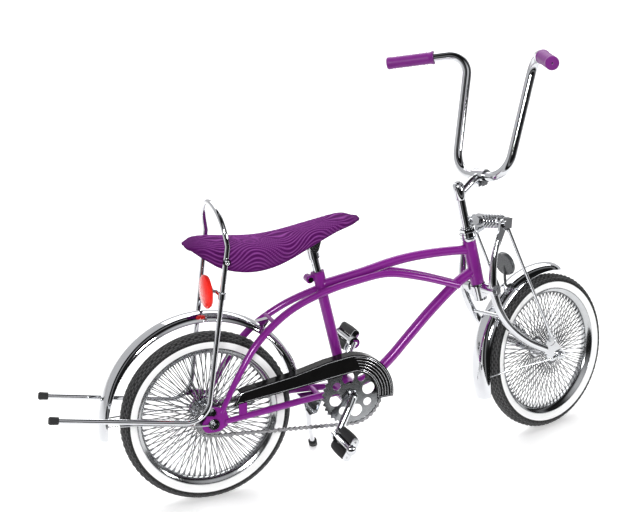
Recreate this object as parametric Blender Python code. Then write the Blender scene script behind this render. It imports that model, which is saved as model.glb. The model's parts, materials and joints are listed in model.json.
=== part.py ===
"""Lowrider style kids bicycle with 16 inch wheels, standing on its kickstand.

The bicycle is modelled upright in its own frame: X points forward, Y to the rider's left and Z up, with the
rear tyre's contact below the rear axle at the origin. An empty then leans the whole of it onto the kickstand.
The front end is modelled in the fork's own frame, whose Z is the steering axis.
"""

import math

import bmesh
import bpy
import numpy as np
from mathutils import Matrix, Vector

# Running clearance between pieces that touch
GAP = 0.0003

# Wheels
WHEEL_RADIUS = 0.198
TYRE_HALF_WIDTH = 0.022
TYRE_HEIGHT = 0.035
RIM_RADIUS = WHEEL_RADIUS - TYRE_HEIGHT
RIM_HALF_WIDTH = 0.0165
RIM_DEPTH = 0.015
RIM_FLANGE = 0.002
WHEEL_SEGMENTS = 32
SPOKES_PER_FLANGE = 56
SPOKE_TIP_WIDTH = 0.0016

# Stance. The frame's own heights count from a floor this far below the rear axle
AXLE_HEIGHT = 0.198
LEAN = math.radians(5.0)
STEER = math.radians(16.5)
HEAD_ANGLE = math.radians(77.9)
WHEELBASE_TO_AXIS = 0.7318
FORK_OFFSET = 0.1739

# Rear hub and axle
REAR_DROPOUT_HALF_GAP = 0.056
REAR_FLANGE_RADIUS = 0.030
REAR_FLANGE_Y = 0.029
REAR_HUB_RADIUS = 0.019
AXLE_RADIUS = 0.005
DROPOUT_THICKNESS = 0.004
HOOP_EYELET = (-0.0040, 0.2310)

# Front hub and axle
FRONT_DROPOUT_HALF_GAP = 0.049
FRONT_FLANGE_RADIUS = 0.026
FRONT_FLANGE_Y = 0.027
FRONT_HUB_RADIUS = 0.014
FRONT_PLATE_THICKNESS = 0.005

# Frame tubes
BB_X = 0.337
BB_Z = 0.2075
BB_RADIUS = 0.029
BB_HALF_WIDTH = 0.034
BB_BORE = 0.0255
SEAT_ANGLE = math.radians(78.2)
SEAT_TUBE_LENGTH = 0.299
SEAT_TUBE_RADIUS = 0.0125
SEAT_POST_RADIUS = 0.0107
SEAT_POST_TOP = 0.352
SADDLE_EYE_RISE = 0.0095
SADDLE_EAR_Y = 0.0238
SADDLE_EAR_RADIUS = 0.0110
HEAD_TUBE_RADIUS = 0.0165
HEAD_TUBE_BORE = 0.0142
HEAD_TUBE_BOTTOM = 0.228
HEAD_TUBE_TOP = 0.3385
TOP_TUBE_RADIUS = 0.0111
TWIN_TUBE_RADIUS = 0.0085
DOWN_TUBE_RADIUS = 0.0125
CHAINSTAY_RADIUS = 0.008
STAY_END_RADIUS = 0.006
FENDER_BRIDGE = (0.158, 0.4045)

# Drive
CHAIN_PITCH = 0.0127
RING_TEETH = 36
COG_TEETH = 17
CHAIN_LINKS = 80
CHAIN_Y = -0.042
CHAIN_INNER_WIDTH = 0.0038
CHAIN_PLATE = 0.0021
CHAIN_HEIGHT = 0.0084
CHAIN_STEP = 0.0006
TOOTH_HEIGHT = 0.0020
ROOT_DEPTH = 0.0042
SPROCKET_THICKNESS = 0.0024
CRANK_LENGTH = 0.0975
CRANK_ANGLE = math.radians(237.1)
CRANK_RADIUS = 0.009
CRANK_ARM_Y = 0.075
PEDAL_LENGTH = 0.084
PEDAL_TILT = math.radians(56.0)

# Steering assembly, in the fork's frame
STEERER_RADIUS = 0.0127
STEERER_BORE = 0.0114
STEERER_TOP = 0.372
QUILL_RADIUS = 0.0110
STEM_BOLT_TOP = 0.484
BAR_RADIUS = 0.0111
BAR_CLAMP = (0.0745, 0.474)
BAR_LOWER_CORNER = (0.0745, 0.086, 0.4740)
BAR_UPPER_CORNER = (0.214, 0.110, 0.732)
BAR_END = (0.0890, 0.2735, 0.7424)
GRIP_LENGTH = 0.118
GRIP_WALL = 0.0041
GRIP_RADIUS = BAR_RADIUS + GRIP_WALL

# Springer fork, in the fork's frame
PIVOT_Z = 0.2165
LEG_Y = 0.052
LEG_BOSS_HALF = 0.0100
YOKE_X = 0.0700
YOKE_Z = 0.3590
YOKE_HALF_WIDTH = 0.041
SPRING_START = (0.0480, 0.3690)
SPRING_END = (0.1120, 0.3430)
SPRING_RADIUS = 0.0155
SPRING_WIRE = 0.0025
SPRING_TURNS = 7

# Fenders
FENDER_HALF_WIDTH = 0.0290
FENDER_CROWN = 0.0175
FENDER_SHEET = 0.0012
REAR_FENDER_RISE = 0.038
FRONT_FENDER_RISE = 0.031
REAR_FENDER_RADIUS = WHEEL_RADIUS + REAR_FENDER_RISE
FRONT_FENDER_RADIUS = WHEEL_RADIUS + FRONT_FENDER_RISE

# Seat
SEAT_REAR = -0.022
SEAT_FRONT = 0.370
SEAT_RIBS = 13
SEAT_RIB_HEIGHT = 0.0016

# Backrest hoop with its wheelie rods
HOOP_RADIUS = 0.006
HOOP_ROD_Y = 0.078
HOOP_BOLT_Z = 0.572
HOOP_SPACER_Y = 0.0798
HOOP_LOOP_Y = 0.088
HOOP_TOP_Z = 0.684
HOOP_CORNER = (-0.0185, 0.2098)
HOOP_SHOULDER = (0.0445, 0.6050)

PURPLE = (0.145, 0.008, 0.160, 1.0)
VELOUR = (0.120, 0.010, 0.150, 1.0)
CHROME = (0.72, 0.73, 0.75, 1.0)
BLACK = (0.012, 0.012, 0.013, 1.0)
RUBBER = (0.020, 0.020, 0.021, 1.0)
RED = (0.75, 0.02, 0.01, 1.0)
CLEAR = (0.55, 0.57, 0.60, 1.0)
GRAPHITE = (0.22, 0.22, 0.23, 1.0)

FINISHES = {
    "purple_paint": (PURPLE, 0.18, 0.35),
    "velour": (VELOUR, 0.90, 0.0),
    "grip_vinyl": (VELOUR, 0.45, 0.0),
    "chrome": (CHROME, 0.08, 1.0),
    "black_enamel": (BLACK, 0.15, 0.0),
    "rubber": (RUBBER, 0.75, 0.0),
    "red_lens": (RED, 0.15, 0.0),
    "clear_lens": (CLEAR, 0.12, 0.2),
    "steel": (GRAPHITE, 0.35, 1.0),
}


def clear_scene():
    for obj in list(bpy.data.objects):
        bpy.data.objects.remove(obj, do_unlink=True)


def finish_material(name):
    found = bpy.data.materials.get(name)
    if found:
        return found
    colour, roughness, metallic = FINISHES[name]
    made = bpy.data.materials.new(name)
    made.use_nodes = True
    shader = made.node_tree.nodes["Principled BSDF"]
    shader.inputs["Base Color"].default_value = colour
    shader.inputs["Roughness"].default_value = roughness
    shader.inputs["Metallic"].default_value = metallic
    return made


def empty(name, parent=None, location=(0, 0, 0), rotation=(0, 0, 0)):
    made = bpy.data.objects.new(name, None)
    made.empty_display_size = 0.03
    made.parent = parent
    made.location = location
    made.rotation_euler = rotation
    bpy.context.scene.collection.objects.link(made)
    return made


def solid(name, mesh_data):
    """An object made from a bmesh, with its faces pointing out."""
    bmesh.ops.recalc_face_normals(mesh_data, faces=mesh_data.faces)
    if mesh_data.calc_volume(signed=True) < 0:
        bmesh.ops.reverse_faces(mesh_data, faces=mesh_data.faces)
    mesh = bpy.data.meshes.new(name)
    mesh_data.to_mesh(mesh)
    mesh_data.free()
    made = bpy.data.objects.new(name, mesh)
    bpy.context.scene.collection.objects.link(made)
    return made


def place(made, name, finish, parent, smooth_angle=40.0):
    """Name a shape as one piece, give it its finish and hang it on its parent."""
    made.name = name
    made.data.name = name
    made.data.materials.clear()
    made.data.materials.append(finish_material(finish))
    made.data.shade_smooth()
    made.data.set_sharp_from_angle(angle=math.radians(smooth_angle))
    made.parent = parent
    return made


def combined(base, adds=(), cuts=()):
    """One mesh from a base shape, the shapes welded to it and those cut out of it."""
    for operation, others in (("UNION", adds), ("DIFFERENCE", cuts)):
        for other in others:
            step = base.modifiers.new(operation.title(), "BOOLEAN")
            step.operation = operation
            step.solver = "EXACT"
            step.object = other
    graph = bpy.context.evaluated_depsgraph_get()
    mesh = bpy.data.meshes.new_from_object(base.evaluated_get(graph))
    base.modifiers.clear()
    base.data = mesh
    for other in (*adds, *cuts):
        bpy.data.objects.remove(other, do_unlink=True)
    return base


def arc(centre, radius, start, end, steps):
    """Points of a circular arc in a plane, with angles in degrees."""
    turn = [math.radians(start + (end - start) * i / steps) for i in range(steps + 1)]
    return [(centre[0] + radius * math.cos(a), centre[1] + radius * math.sin(a)) for a in turn]


def circle(centre, radius, sides):
    return arc(centre, radius, 0, 360 - 360 / sides, sides - 1)


def bent_path(corners, radii, steps=5):
    """Straight runs between corners, each inner corner rounded to its bend radius."""
    corners = [Vector(c) for c in corners]
    points = [corners[0]]
    for before, corner, after, radius in zip(corners, corners[1:], corners[2:], radii):
        back = (before - corner).normalized()
        ahead = (after - corner).normalized()
        half = back.angle(ahead) / 2
        reach = radius / math.tan(half)
        centre = corner + (back + ahead).normalized() * (radius / math.sin(half))
        first = corner + back * reach - centre
        last = corner + ahead * reach - centre
        sweep_angle = first.angle(last)
        axis = first.cross(last).normalized()
        for i in range(steps + 1):
            points.append(centre + Matrix.Rotation(sweep_angle * i / steps, 3, axis) @ first)
    points.append(corners[-1])
    return points


def spline_path(knots, per_span=4):
    """A smooth curve through every knot."""
    knots = [Vector(k) for k in knots]
    ends = [2 * knots[0] - knots[1], *knots, 2 * knots[-1] - knots[-2]]
    points = []
    for a, b, c, d in zip(ends, ends[1:], ends[2:], ends[3:]):
        for i in range(per_span):
            t = i / per_span
            points.append(0.5 * (2 * b + (c - a) * t + (2 * a - 5 * b + 4 * c - d) * t**2
                                 + (3 * b - a - 3 * c + d) * t**3))
    points.append(knots[-1])
    return points


def path_frames(points, closed=False):
    """A side and a top vector at each point, which turn along the path as little as they can."""
    count = len(points)
    tangents = []
    for i in range(count):
        ahead = points[(i + 1) % count] if closed or i < count - 1 else points[i]
        behind = points[i - 1] if closed or i else points[i]
        tangents.append((ahead - behind).normalized())
    helper = Vector((0, 1, 0)) if abs(tangents[0].y) < 0.9 else Vector((1, 0, 0))
    side = helper - tangents[0] * helper.dot(tangents[0])
    frames = []
    for tangent in tangents:
        side = (side - tangent * side.dot(tangent)).normalized()
        frames.append((side, tangent.cross(side)))
    return frames


def loft(rings, closed=False):
    """A skin over rings of points of equal count, capped at both ends unless it closes on itself."""
    skin = bmesh.new()
    rows = [[skin.verts.new(p) for p in ring] for ring in rings]
    pairs = list(zip(rows, rows[1:]))
    if closed:
        pairs.append((rows[-1], rows[0]))
    for low, high in pairs:
        count = len(low)
        for i in range(count):
            skin.faces.new((low[i], low[(i + 1) % count], high[(i + 1) % count], high[i]))
    if not closed:
        skin.faces.new(rows[0])
        skin.faces.new(rows[-1])
    return skin


def rod(points, radius, sides=10, closed=False):
    """A round bar along a path; the radius may be one value or one for each point."""
    points = [Vector(p) for p in points]
    radii = radius if isinstance(radius, (list, tuple)) else [radius] * len(points)
    rings = []
    for point, (side, top), r in zip(points, path_frames(points, closed), radii):
        turn = [2 * math.pi * (i + 0.5) / sides for i in range(sides)]
        rings.append([point + side * (r * math.cos(a)) + top * (r * math.sin(a)) for a in turn])
    return solid("rod", loft(rings, closed))


def turned(profile, sides=24, matrix=None, ring=False):
    """A revolved shape about Y. The profile lists (radius, y); a ring's profile closes on itself."""
    shape = bmesh.new()
    rows = []
    for r, y in profile:
        turn = [2 * math.pi * i / sides for i in range(sides)]
        rows.append([shape.verts.new((r * math.sin(a), y, -r * math.cos(a))) for a in turn])
    pairs = list(zip(rows, rows[1:]))
    if ring:
        pairs.append((rows[-1], rows[0]))
    for low, high in pairs:
        for i in range(sides):
            shape.faces.new((low[i], low[(i + 1) % sides], high[(i + 1) % sides], high[i]))
    if not ring:
        shape.faces.new(rows[0])
        shape.faces.new(rows[-1])
    if matrix:
        shape.transform(matrix)
    return solid("turned", shape)


def plate(outline, low, high, holes=(), matrix=None):
    """A flat plate from an outline in X and Z, between two values of Y, with holes through it."""
    shape = bmesh.new()
    edges = []
    for loop in (outline, *holes):
        row = [shape.verts.new((x, low, z)) for x, z in loop]
        edges += [shape.edges.new((a, b)) for a, b in zip(row, row[1:] + row[:1])]
    bmesh.ops.triangle_fill(shape, use_beauty=True, use_dissolve=not holes, edges=edges)
    grown = bmesh.ops.extrude_face_region(shape, geom=list(shape.faces))
    lifted = [v for v in grown["geom"] if isinstance(v, bmesh.types.BMVert)]
    bmesh.ops.translate(shape, verts=lifted, vec=(0, high - low, 0))
    if matrix:
        shape.transform(matrix)
    return solid("plate", shape)


def along(start, end):
    """A matrix that puts the Y axis of a turned shape along a line from its start."""
    line = Vector(end) - Vector(start)
    return Matrix.Translation(Vector(start)) @ line.to_track_quat("Y", "Z").to_matrix().to_4x4()


def cylinder(start, end, radius, sides=16):
    length = (Vector(end) - Vector(start)).length
    return turned([(radius, 0), (radius, length)], sides, along(start, end))


def tube(start, end, outer, inner, sides=20):
    length = (Vector(end) - Vector(start)).length
    profile = [(outer, 0), (outer, length), (inner, length), (inner, 0)]
    return turned(profile, sides, along(start, end), ring=True)


def hexagon(start, end, across):
    """A hexagonal bar, as for a nut or a bolt head, given its size across the flats."""
    return cylinder(start, end, across / math.sqrt(3), 6)


def dome_nut(start, end, across):
    """A hexagonal base under a round dome, from its seat to its tip."""
    start, end = Vector(start), Vector(end)
    length = (end - start).length
    base = hexagon(start, start.lerp(end, 0.4), across)
    r = across * 0.44
    dome = [(r, 0.3 * length), (r, 0.6 * length), (0.75 * r, 0.87 * length), (0.25 * r, length)]
    return combined(base, [turned(dome, 8, along(start, end))])


def mirrored(points):
    return [(x, -y, z) for x, y, z in points]


# Tyre section as radius and sideways offset, from the bead up one side and down the other
def tyre_section():
    seat = RIM_RADIUS - RIM_DEPTH / 2 + GAP
    wall = RIM_HALF_WIDTH - RIM_FLANGE - GAP
    half = [
        (seat, wall - 0.001),
        (RIM_RADIUS + 0.0120, TYRE_HALF_WIDTH),
        (WHEEL_RADIUS - 0.0090, TYRE_HALF_WIDTH * 0.86),
        (WHEEL_RADIUS, TYRE_HALF_WIDTH * 0.28),
    ]
    return half + [(r, -y) for r, y in reversed(half)]


def contact_reach(tilt):
    """How far a tyre reaches below its centre when its plane is tilted from upright."""
    return max(r * math.cos(tilt) + y * math.sin(tilt) for r, y in tyre_section())


# The fork's frame, and the drop that puts the front tyre on the ground
STEER_AXIS = Vector((-math.cos(HEAD_ANGLE), 0, math.sin(HEAD_ANGLE)))
FORK_FORWARD = Vector((math.sin(HEAD_ANGLE), 0, math.cos(HEAD_ANGLE)))
GROUND_UP = Vector((0, -math.sin(LEAN), math.cos(LEAN)))
GROUND_DROP = contact_reach(LEAN) - AXLE_HEIGHT * math.cos(LEAN)


def front_axle_drop():
    """Height of the front axle along the steering axis, found from where its tyre meets the ground."""
    steered = Matrix.Rotation(STEER, 3, STEER_AXIS)
    forward = steered @ FORK_FORWARD
    sideways = steered @ Vector((0, 1, 0))
    base = Vector((WHEELBASE_TO_AXIS, 0, AXLE_HEIGHT)) + forward * FORK_OFFSET
    tilt = math.asin(abs(sideways.dot(GROUND_UP)))
    wanted = contact_reach(tilt) - GROUND_DROP
    return (wanted - base.dot(GROUND_UP)) / STEER_AXIS.dot(GROUND_UP)


FRONT_AXLE = (FORK_OFFSET, front_axle_drop())
FRONT_FENDER_CENTRE = (FRONT_AXLE[0] - 0.0075, FRONT_AXLE[1] - PIVOT_Z + 0.0015)
SEAT_UP = Vector((-math.cos(SEAT_ANGLE), 0, math.sin(SEAT_ANGLE)))
BOTTOM_BRACKET = Vector((BB_X, 0, BB_Z))


def make_wheel(prefix, parent, flange_radius, flange_y, hub_radius, hub_half):
    """Tyre, rim and laced hub. Every piece turns about its own Y axis."""
    tyre = turned(tyre_section(), WHEEL_SEGMENTS, ring=True)
    place(tyre, prefix + "_tyre", "rubber", parent)

    floor = RIM_RADIUS - RIM_DEPTH / 2
    inner = RIM_RADIUS - RIM_DEPTH
    wall = RIM_HALF_WIDTH - RIM_FLANGE
    lip = (RIM_RADIUS - 0.0015, RIM_HALF_WIDTH + 0.0007)
    half = [(floor, wall - 0.001), (RIM_RADIUS, RIM_HALF_WIDTH), lip, (inner, RIM_HALF_WIDTH * 0.5)]
    rim = turned(half + [(r, -y) for r, y in reversed(half)], WHEEL_SEGMENTS, ring=True)
    place(rim, prefix + "_rim", "chrome", parent)

    reach = inner * math.cos(math.pi / WHEEL_SEGMENTS) - 2 * GAP
    hub = laced_hub(flange_radius, flange_y, hub_radius, hub_half, reach)
    place(hub, prefix + "_hub_and_spokes", "chrome", parent)


def laced_hub(flange_radius, flange_y, hub_radius, hub_half, spoke_reach):
    """A hub barrel between two flanges, with a spoke drawn out of every tooth of each flange's edge."""
    count = SPOKES_PER_FLANGE
    sides = 8
    edge = 0.0026
    wire = bmesh.new()

    def ring(radius, y, number, shift=0.0):
        turn = [2 * math.pi * (i + shift) / number for i in range(number)]
        return [wire.verts.new((radius * math.sin(a), y, -radius * math.cos(a))) for a in turn]

    def join_flat(outer, inner):
        loops = [wire.edges.get((a, b)) or wire.edges.new((a, b))
                 for row in (outer, inner) for a, b in zip(row, row[1:] + row[:1])]
        bmesh.ops.triangle_fill(wire, use_beauty=True, use_dissolve=False, edges=loops)

    barrel = {}
    for side in (-1, 1):
        outer = ring(flange_radius, side * (flange_y + edge), count)
        inner = ring(flange_radius, side * flange_y, count, 0.5)
        tips = []
        for i in range(count):
            j = (i + 1) % count
            tips.append((outer[i], outer[j], inner[i]))
            wire.faces.new((outer[j], inner[j], inner[i]))
        for corners in tips:
            draw_spoke(wire, corners, spoke_reach, side * RIM_HALF_WIDTH * 0.25)
        shoulder = ring(hub_radius * 0.75, side * (flange_y + edge), sides)
        waist = ring(hub_radius, side * flange_y, sides)
        join_flat(outer, shoulder)
        join_flat(inner, waist)
        end = ring(hub_radius * 0.75, side * hub_half, sides)
        bore = ring(AXLE_RADIUS + 3 * GAP, side * hub_half, sides)
        for a, b in ((shoulder, end), (end, bore)):
            for i in range(sides):
                wire.faces.new((a[i], a[(i + 1) % sides], b[(i + 1) % sides], b[i]))
        barrel[side] = (waist, bore)
    for k in (0, 1):
        a, b = barrel[-1][k], barrel[1][k]
        for i in range(sides):
            wire.faces.new((a[i], a[(i + 1) % sides], b[(i + 1) % sides], b[i]))
    return solid("hub", wire)


def draw_spoke(wire, corners, reach, tip_y):
    """Draws a flange tooth out into a spoke that thins to a blade's edge at the rim."""
    first, second, third = corners
    centre = (first.co + second.co + third.co) / 3
    tip = Vector((centre.x, 0, centre.z)).normalized() * reach + Vector((0, tip_y, 0))
    across = (second.co - first.co).normalized() * (SPOKE_TIP_WIDTH / 2)
    left = wire.verts.new(tip - across)
    right = wire.verts.new(tip + across)
    wire.faces.new((first, second, right, left))
    wire.faces.new((second, third, right))
    wire.faces.new((third, first, left))
    wire.faces.new((third, left, right))


def seat_axis_point(distance):
    """A point on the seat tube's axis, measured up from the bottom bracket."""
    return BOTTOM_BRACKET + SEAT_UP * distance


def fork_point(x, y, z):
    """A point of the unsteered fork frame in the bicycle's frame."""
    base = Vector((WHEELBASE_TO_AXIS, 0, AXLE_HEIGHT))
    return base + FORK_FORWARD * x + Vector((0, y, 0)) + STEER_AXIS * z


def twin_tube(side):
    """One of the two long tubes from the down tube, past the seat tube, to a rear dropout."""
    inset = SEAT_TUBE_RADIUS + TWIN_TUBE_RADIUS - 0.002
    knots = [
        (0.628, 0.013, 0.424),
        (0.530, 0.0155, 0.4575),
        (0.445, 0.0175, 0.4770),
        (0.372, 0.019, 0.4715),
        (0.283, inset, 0.4535),
        (0.195, 0.027, 0.4215),
        (0.118, 0.0420, 0.3680),
        (0.064, 0.0520, 0.2980),
        (0.020, REAR_DROPOUT_HALF_GAP + DROPOUT_THICKNESS / 2, 0.2220),
    ]
    path = spline_path([(x, side * y, z) for x, y, z in knots], 2)
    radii = [min(TWIN_TUBE_RADIUS, STAY_END_RADIUS + 0.03 * max(p.x - 0.020, 0)) for p in path]
    return rod(path, radii, 8)


def chainstay(side):
    knots = [
        (BB_X - 0.012, 0.0225, BB_Z + 0.0015),
        (0.292, 0.0248, 0.2095),
        (0.250, 0.0315, 0.2105),
        (0.150, 0.0460, 0.2065),
        (0.026, REAR_DROPOUT_HALF_GAP + DROPOUT_THICKNESS / 2, 0.1990),
    ]
    path = spline_path([(x, side * y, z) for x, y, z in knots], 1)
    radii = [min(CHAINSTAY_RADIUS, STAY_END_RADIUS + 0.03 * (p.x - 0.026)) for p in path]
    return rod(path, radii, 8)


def dropout(side):
    """A rear dropout plate with its closed axle slot and the eyelet for the backrest hoop."""
    inner = side * REAR_DROPOUT_HALF_GAP
    outer = side * (REAR_DROPOUT_HALF_GAP + DROPOUT_THICKNESS)
    z = AXLE_HEIGHT
    outline = arc((-0.009, z - 0.002), 0.0175, 120, 280, 6)
    outline += [(0.012, z - 0.019), (0.030, z - 0.009), (0.036, z + 0.006), (0.030, z + 0.028),
                (0.018, z + 0.036)]
    outline += arc(HOOP_EYELET, 0.0085, 60, 200, 5)
    slot_radius = AXLE_RADIUS + 3 * GAP
    slot = arc((-0.006, z), slot_radius, 90, 270, 6) + arc((0.002, z), slot_radius, -90, 90, 6)
    return plate(outline, min(inner, outer), max(inner, outer), [slot])


def make_frame(parent):
    head_low = fork_point(0, 0, HEAD_TUBE_BOTTOM)
    head_high = fork_point(0, 0, HEAD_TUBE_TOP)
    seat_top = seat_axis_point(SEAT_TUBE_LENGTH)
    top_knots = [
        fork_point(0, 0, HEAD_TUBE_TOP - 0.024),
        (0.585, 0, 0.5080),
        (0.516, 0, 0.5060),
        (0.455, 0, 0.4985),
        (0.385, 0, 0.4840),
        seat_axis_point(SEAT_TUBE_LENGTH - 0.034),
    ]
    down_knots = [
        fork_point(0, 0, HEAD_TUBE_BOTTOM + 0.034),
        (0.625, 0, 0.4240),
        (0.558, 0, 0.3672),
        (0.500, 0, 0.3110),
        (0.452, 0, 0.2640),
        (0.405, 0, 0.2290),
        BOTTOM_BRACKET + Vector((0.012, 0, 0.004)),
    ]
    tab = plate([(0.060, 0.203), (0.078, 0.203), (0.080, 0.240), (0.074, 0.246), (0.066, 0.246),
                 (0.060, 0.240)],
                -0.0575, -0.0545)
    adds = [
        cylinder(head_low, head_high, HEAD_TUBE_RADIUS, 14),
        rod(spline_path(top_knots, 2), TOP_TUBE_RADIUS, 8),
        rod(spline_path(down_knots, 2), DOWN_TUBE_RADIUS, 8),
        twin_tube(-1),
        twin_tube(1),
        cylinder((BB_X, -BB_HALF_WIDTH, BB_Z), (BB_X, BB_HALF_WIDTH, BB_Z), BB_RADIUS, 18),
        chainstay(-1),
        chainstay(1),
        dropout(-1),
        dropout(1),
        cylinder((FENDER_BRIDGE[0], -0.033, FENDER_BRIDGE[1]), (FENDER_BRIDGE[0], 0.033, FENDER_BRIDGE[1]),
                 0.005, 8),
        cylinder((0.262, -0.031, 0.2105), (0.262, 0.031, 0.2105), 0.0065, 8),
        tab,
    ]
    cuts = [
        cylinder(fork_point(0, 0, HEAD_TUBE_BOTTOM - 0.02), fork_point(0, 0, HEAD_TUBE_TOP + 0.02),
                 HEAD_TUBE_BORE, 14),
        cylinder((BB_X, -0.06, BB_Z), (BB_X, 0.06, BB_Z), BB_BORE, 18),
        cylinder(seat_axis_point(SEAT_TUBE_LENGTH - 0.11), seat_top + SEAT_UP * 0.02,
                 SEAT_POST_RADIUS + GAP, 12),
    ]
    frame = combined(cylinder(BOTTOM_BRACKET, seat_top, SEAT_TUBE_RADIUS, 12), adds, cuts)
    place(frame, "frame", "purple_paint", parent)


def make_seat_post(parent):
    low = seat_axis_point(SEAT_TUBE_LENGTH - 0.10)
    high = seat_axis_point(SEAT_POST_TOP)
    place(cylinder(low, high, SEAT_POST_RADIUS, 12), "seat_post", "chrome", parent)

    clamp_low = SEAT_TUBE_LENGTH - 0.019
    ring = tube(seat_axis_point(clamp_low), seat_axis_point(SEAT_TUBE_LENGTH - 0.001),
                SEAT_TUBE_RADIUS + 0.0035, SEAT_TUBE_RADIUS + GAP, 12)
    middle = seat_axis_point(SEAT_TUBE_LENGTH - 0.010)
    back = SEAT_UP.cross(Vector((0, 1, 0))).normalized()
    lug = middle + back * (SEAT_TUBE_RADIUS + 0.011)
    ears = cylinder(lug - Vector((0, 0.010, 0)), lug + Vector((0, 0.010, 0)), 0.0095, 12)
    web = cylinder(middle + back * (SEAT_TUBE_RADIUS + 0.0015), lug, 0.0085, 8)
    slit = plate([(-0.03, -0.02), (0.0, -0.02), (0.0, 0.02), (-0.03, 0.02)], -0.0012, 0.0012,
                 matrix=Matrix.Translation(middle + back * (SEAT_TUBE_RADIUS - 0.004)))
    bolt_hole = cylinder(lug - Vector((0, 0.02, 0)), lug + Vector((0, 0.02, 0)), 0.0036, 8)
    bore = cylinder(seat_axis_point(clamp_low - 0.01), seat_axis_point(SEAT_TUBE_LENGTH + 0.01),
                    SEAT_TUBE_RADIUS + GAP, 12)
    clamp = combined(ring, [ears, web], [slit, bolt_hole, bore])
    place(clamp, "seat_clamp", "purple_paint", parent)

    shank = cylinder(lug - Vector((0, 0.0125, 0)), lug + Vector((0, 0.0125, 0)), 0.0030, 8)
    head = cylinder(lug - Vector((0, 0.0155, 0)), lug - Vector((0, 0.0103, 0)), 0.0062, 10)
    nut = hexagon(lug + Vector((0, 0.0103, 0)), lug + Vector((0, 0.0150, 0)), 0.010)
    place(combined(shank, [head, nut]), "seat_clamp_bolt", "chrome", parent)

    eye = seat_axis_point(SEAT_POST_TOP + SADDLE_EYE_RISE)
    collar = tube(seat_axis_point(SEAT_POST_TOP - 0.020), seat_axis_point(SEAT_POST_TOP + 0.0055),
                  SEAT_POST_RADIUS + 0.0040, SEAT_POST_RADIUS + GAP, 12)
    barrel = cylinder(eye - Vector((0, 0.020, 0)), eye + Vector((0, 0.020, 0)), 0.0085, 10)
    washers = [cylinder(eye + Vector((0, s * 0.0190, 0)), eye + Vector((0, s * 0.0235, 0)), 0.0110, 12)
               for s in (-1, 1)]
    relief = cylinder(seat_axis_point(SEAT_POST_TOP - 0.03), seat_axis_point(SEAT_POST_TOP + GAP),
                      SEAT_POST_RADIUS + 2 * GAP, 12)
    place(combined(collar, [barrel, *washers], [relief]), "saddle_clamp", "chrome", parent)


def blend_values(position, stations):
    """A smooth value at a position, from (position, value) stations."""
    places = [s[0] for s in stations]
    values = [s[1] for s in stations]
    i = int(np.clip(np.searchsorted(places, position) - 1, 0, len(places) - 2))
    t = (position - places[i]) / (places[i + 1] - places[i])
    t = min(max(t, 0.0), 1.0)
    slope = []
    for k in (i, i + 1):
        a, b = max(k - 1, 0), min(k + 1, len(places) - 1)
        slope.append((values[b] - values[a]) / (places[b] - places[a]))
    step = places[i + 1] - places[i]
    return ((2 * t**3 - 3 * t**2 + 1) * values[i] + (t**3 - 2 * t**2 + t) * step * slope[0]
            + (-2 * t**3 + 3 * t**2) * values[i + 1] + (t**3 - t**2) * step * slope[1])


# Seat outline along its length: half width, crown height and the lower edge of the skirt
SEAT_WIDTHS = ((SEAT_REAR, 0.036), (0.0, 0.066), (0.035, 0.0785), (0.09, 0.083), (0.16, 0.078), (0.24, 0.062),
               (0.31, 0.051), (0.350, 0.041), (SEAT_FRONT, 0.024))
SEAT_CROWN = ((SEAT_REAR, 0.599), (0.0, 0.604), (0.035, 0.604), (0.09, 0.598), (0.14, 0.594), (0.19, 0.597),
              (0.26, 0.609), (0.31, 0.618), (0.350, 0.624), (SEAT_FRONT, 0.619))
SEAT_SKIRT = ((SEAT_REAR, 0.590), (0.0, 0.574), (0.035, 0.552), (0.09, 0.538), (0.14, 0.539), (0.19, 0.551),
              (0.26, 0.578), (0.31, 0.597), (0.350, 0.607), (SEAT_FRONT, 0.611))


def seat_section(x, grow, points):
    """A section of the cushion: domed on top, drawn in at the sides and rolled under at the skirt."""
    half = blend_values(x, SEAT_WIDTHS)
    crown = blend_values(x, SEAT_CROWN)
    skirt = blend_values(x, SEAT_SKIRT)
    height = crown - skirt
    row = []
    for i in range(points):
        s = 2 * i / (points - 1) - 1
        a = abs(s)
        if a < 0.55:
            t = a / 0.55
            y = half * 0.97 * math.sin(t * math.pi / 2)
            z = crown - height * 0.30 * (1 - math.cos(t * math.pi / 2))
        else:
            t = (a - 0.55) / 0.45
            y = half * (0.97 + 0.03 * math.sin(math.pi * min(t * 1.6, 1)) - 0.11 * t**2)
            z = crown - height * (0.30 + 0.70 * t)
        wave = 0.5 + 0.5 * math.cos(math.pi * i)
        lift = grow * wave * min(1.0, 2.4 * (1 - a))
        outward = Vector((0, y, z - skirt - 0.25 * height)).normalized()
        row.append(Vector((0, math.copysign(y, s), z)) + Vector((0, math.copysign(outward.y, s),
                                                                 outward.z)) * lift)
    return row, skirt


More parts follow.
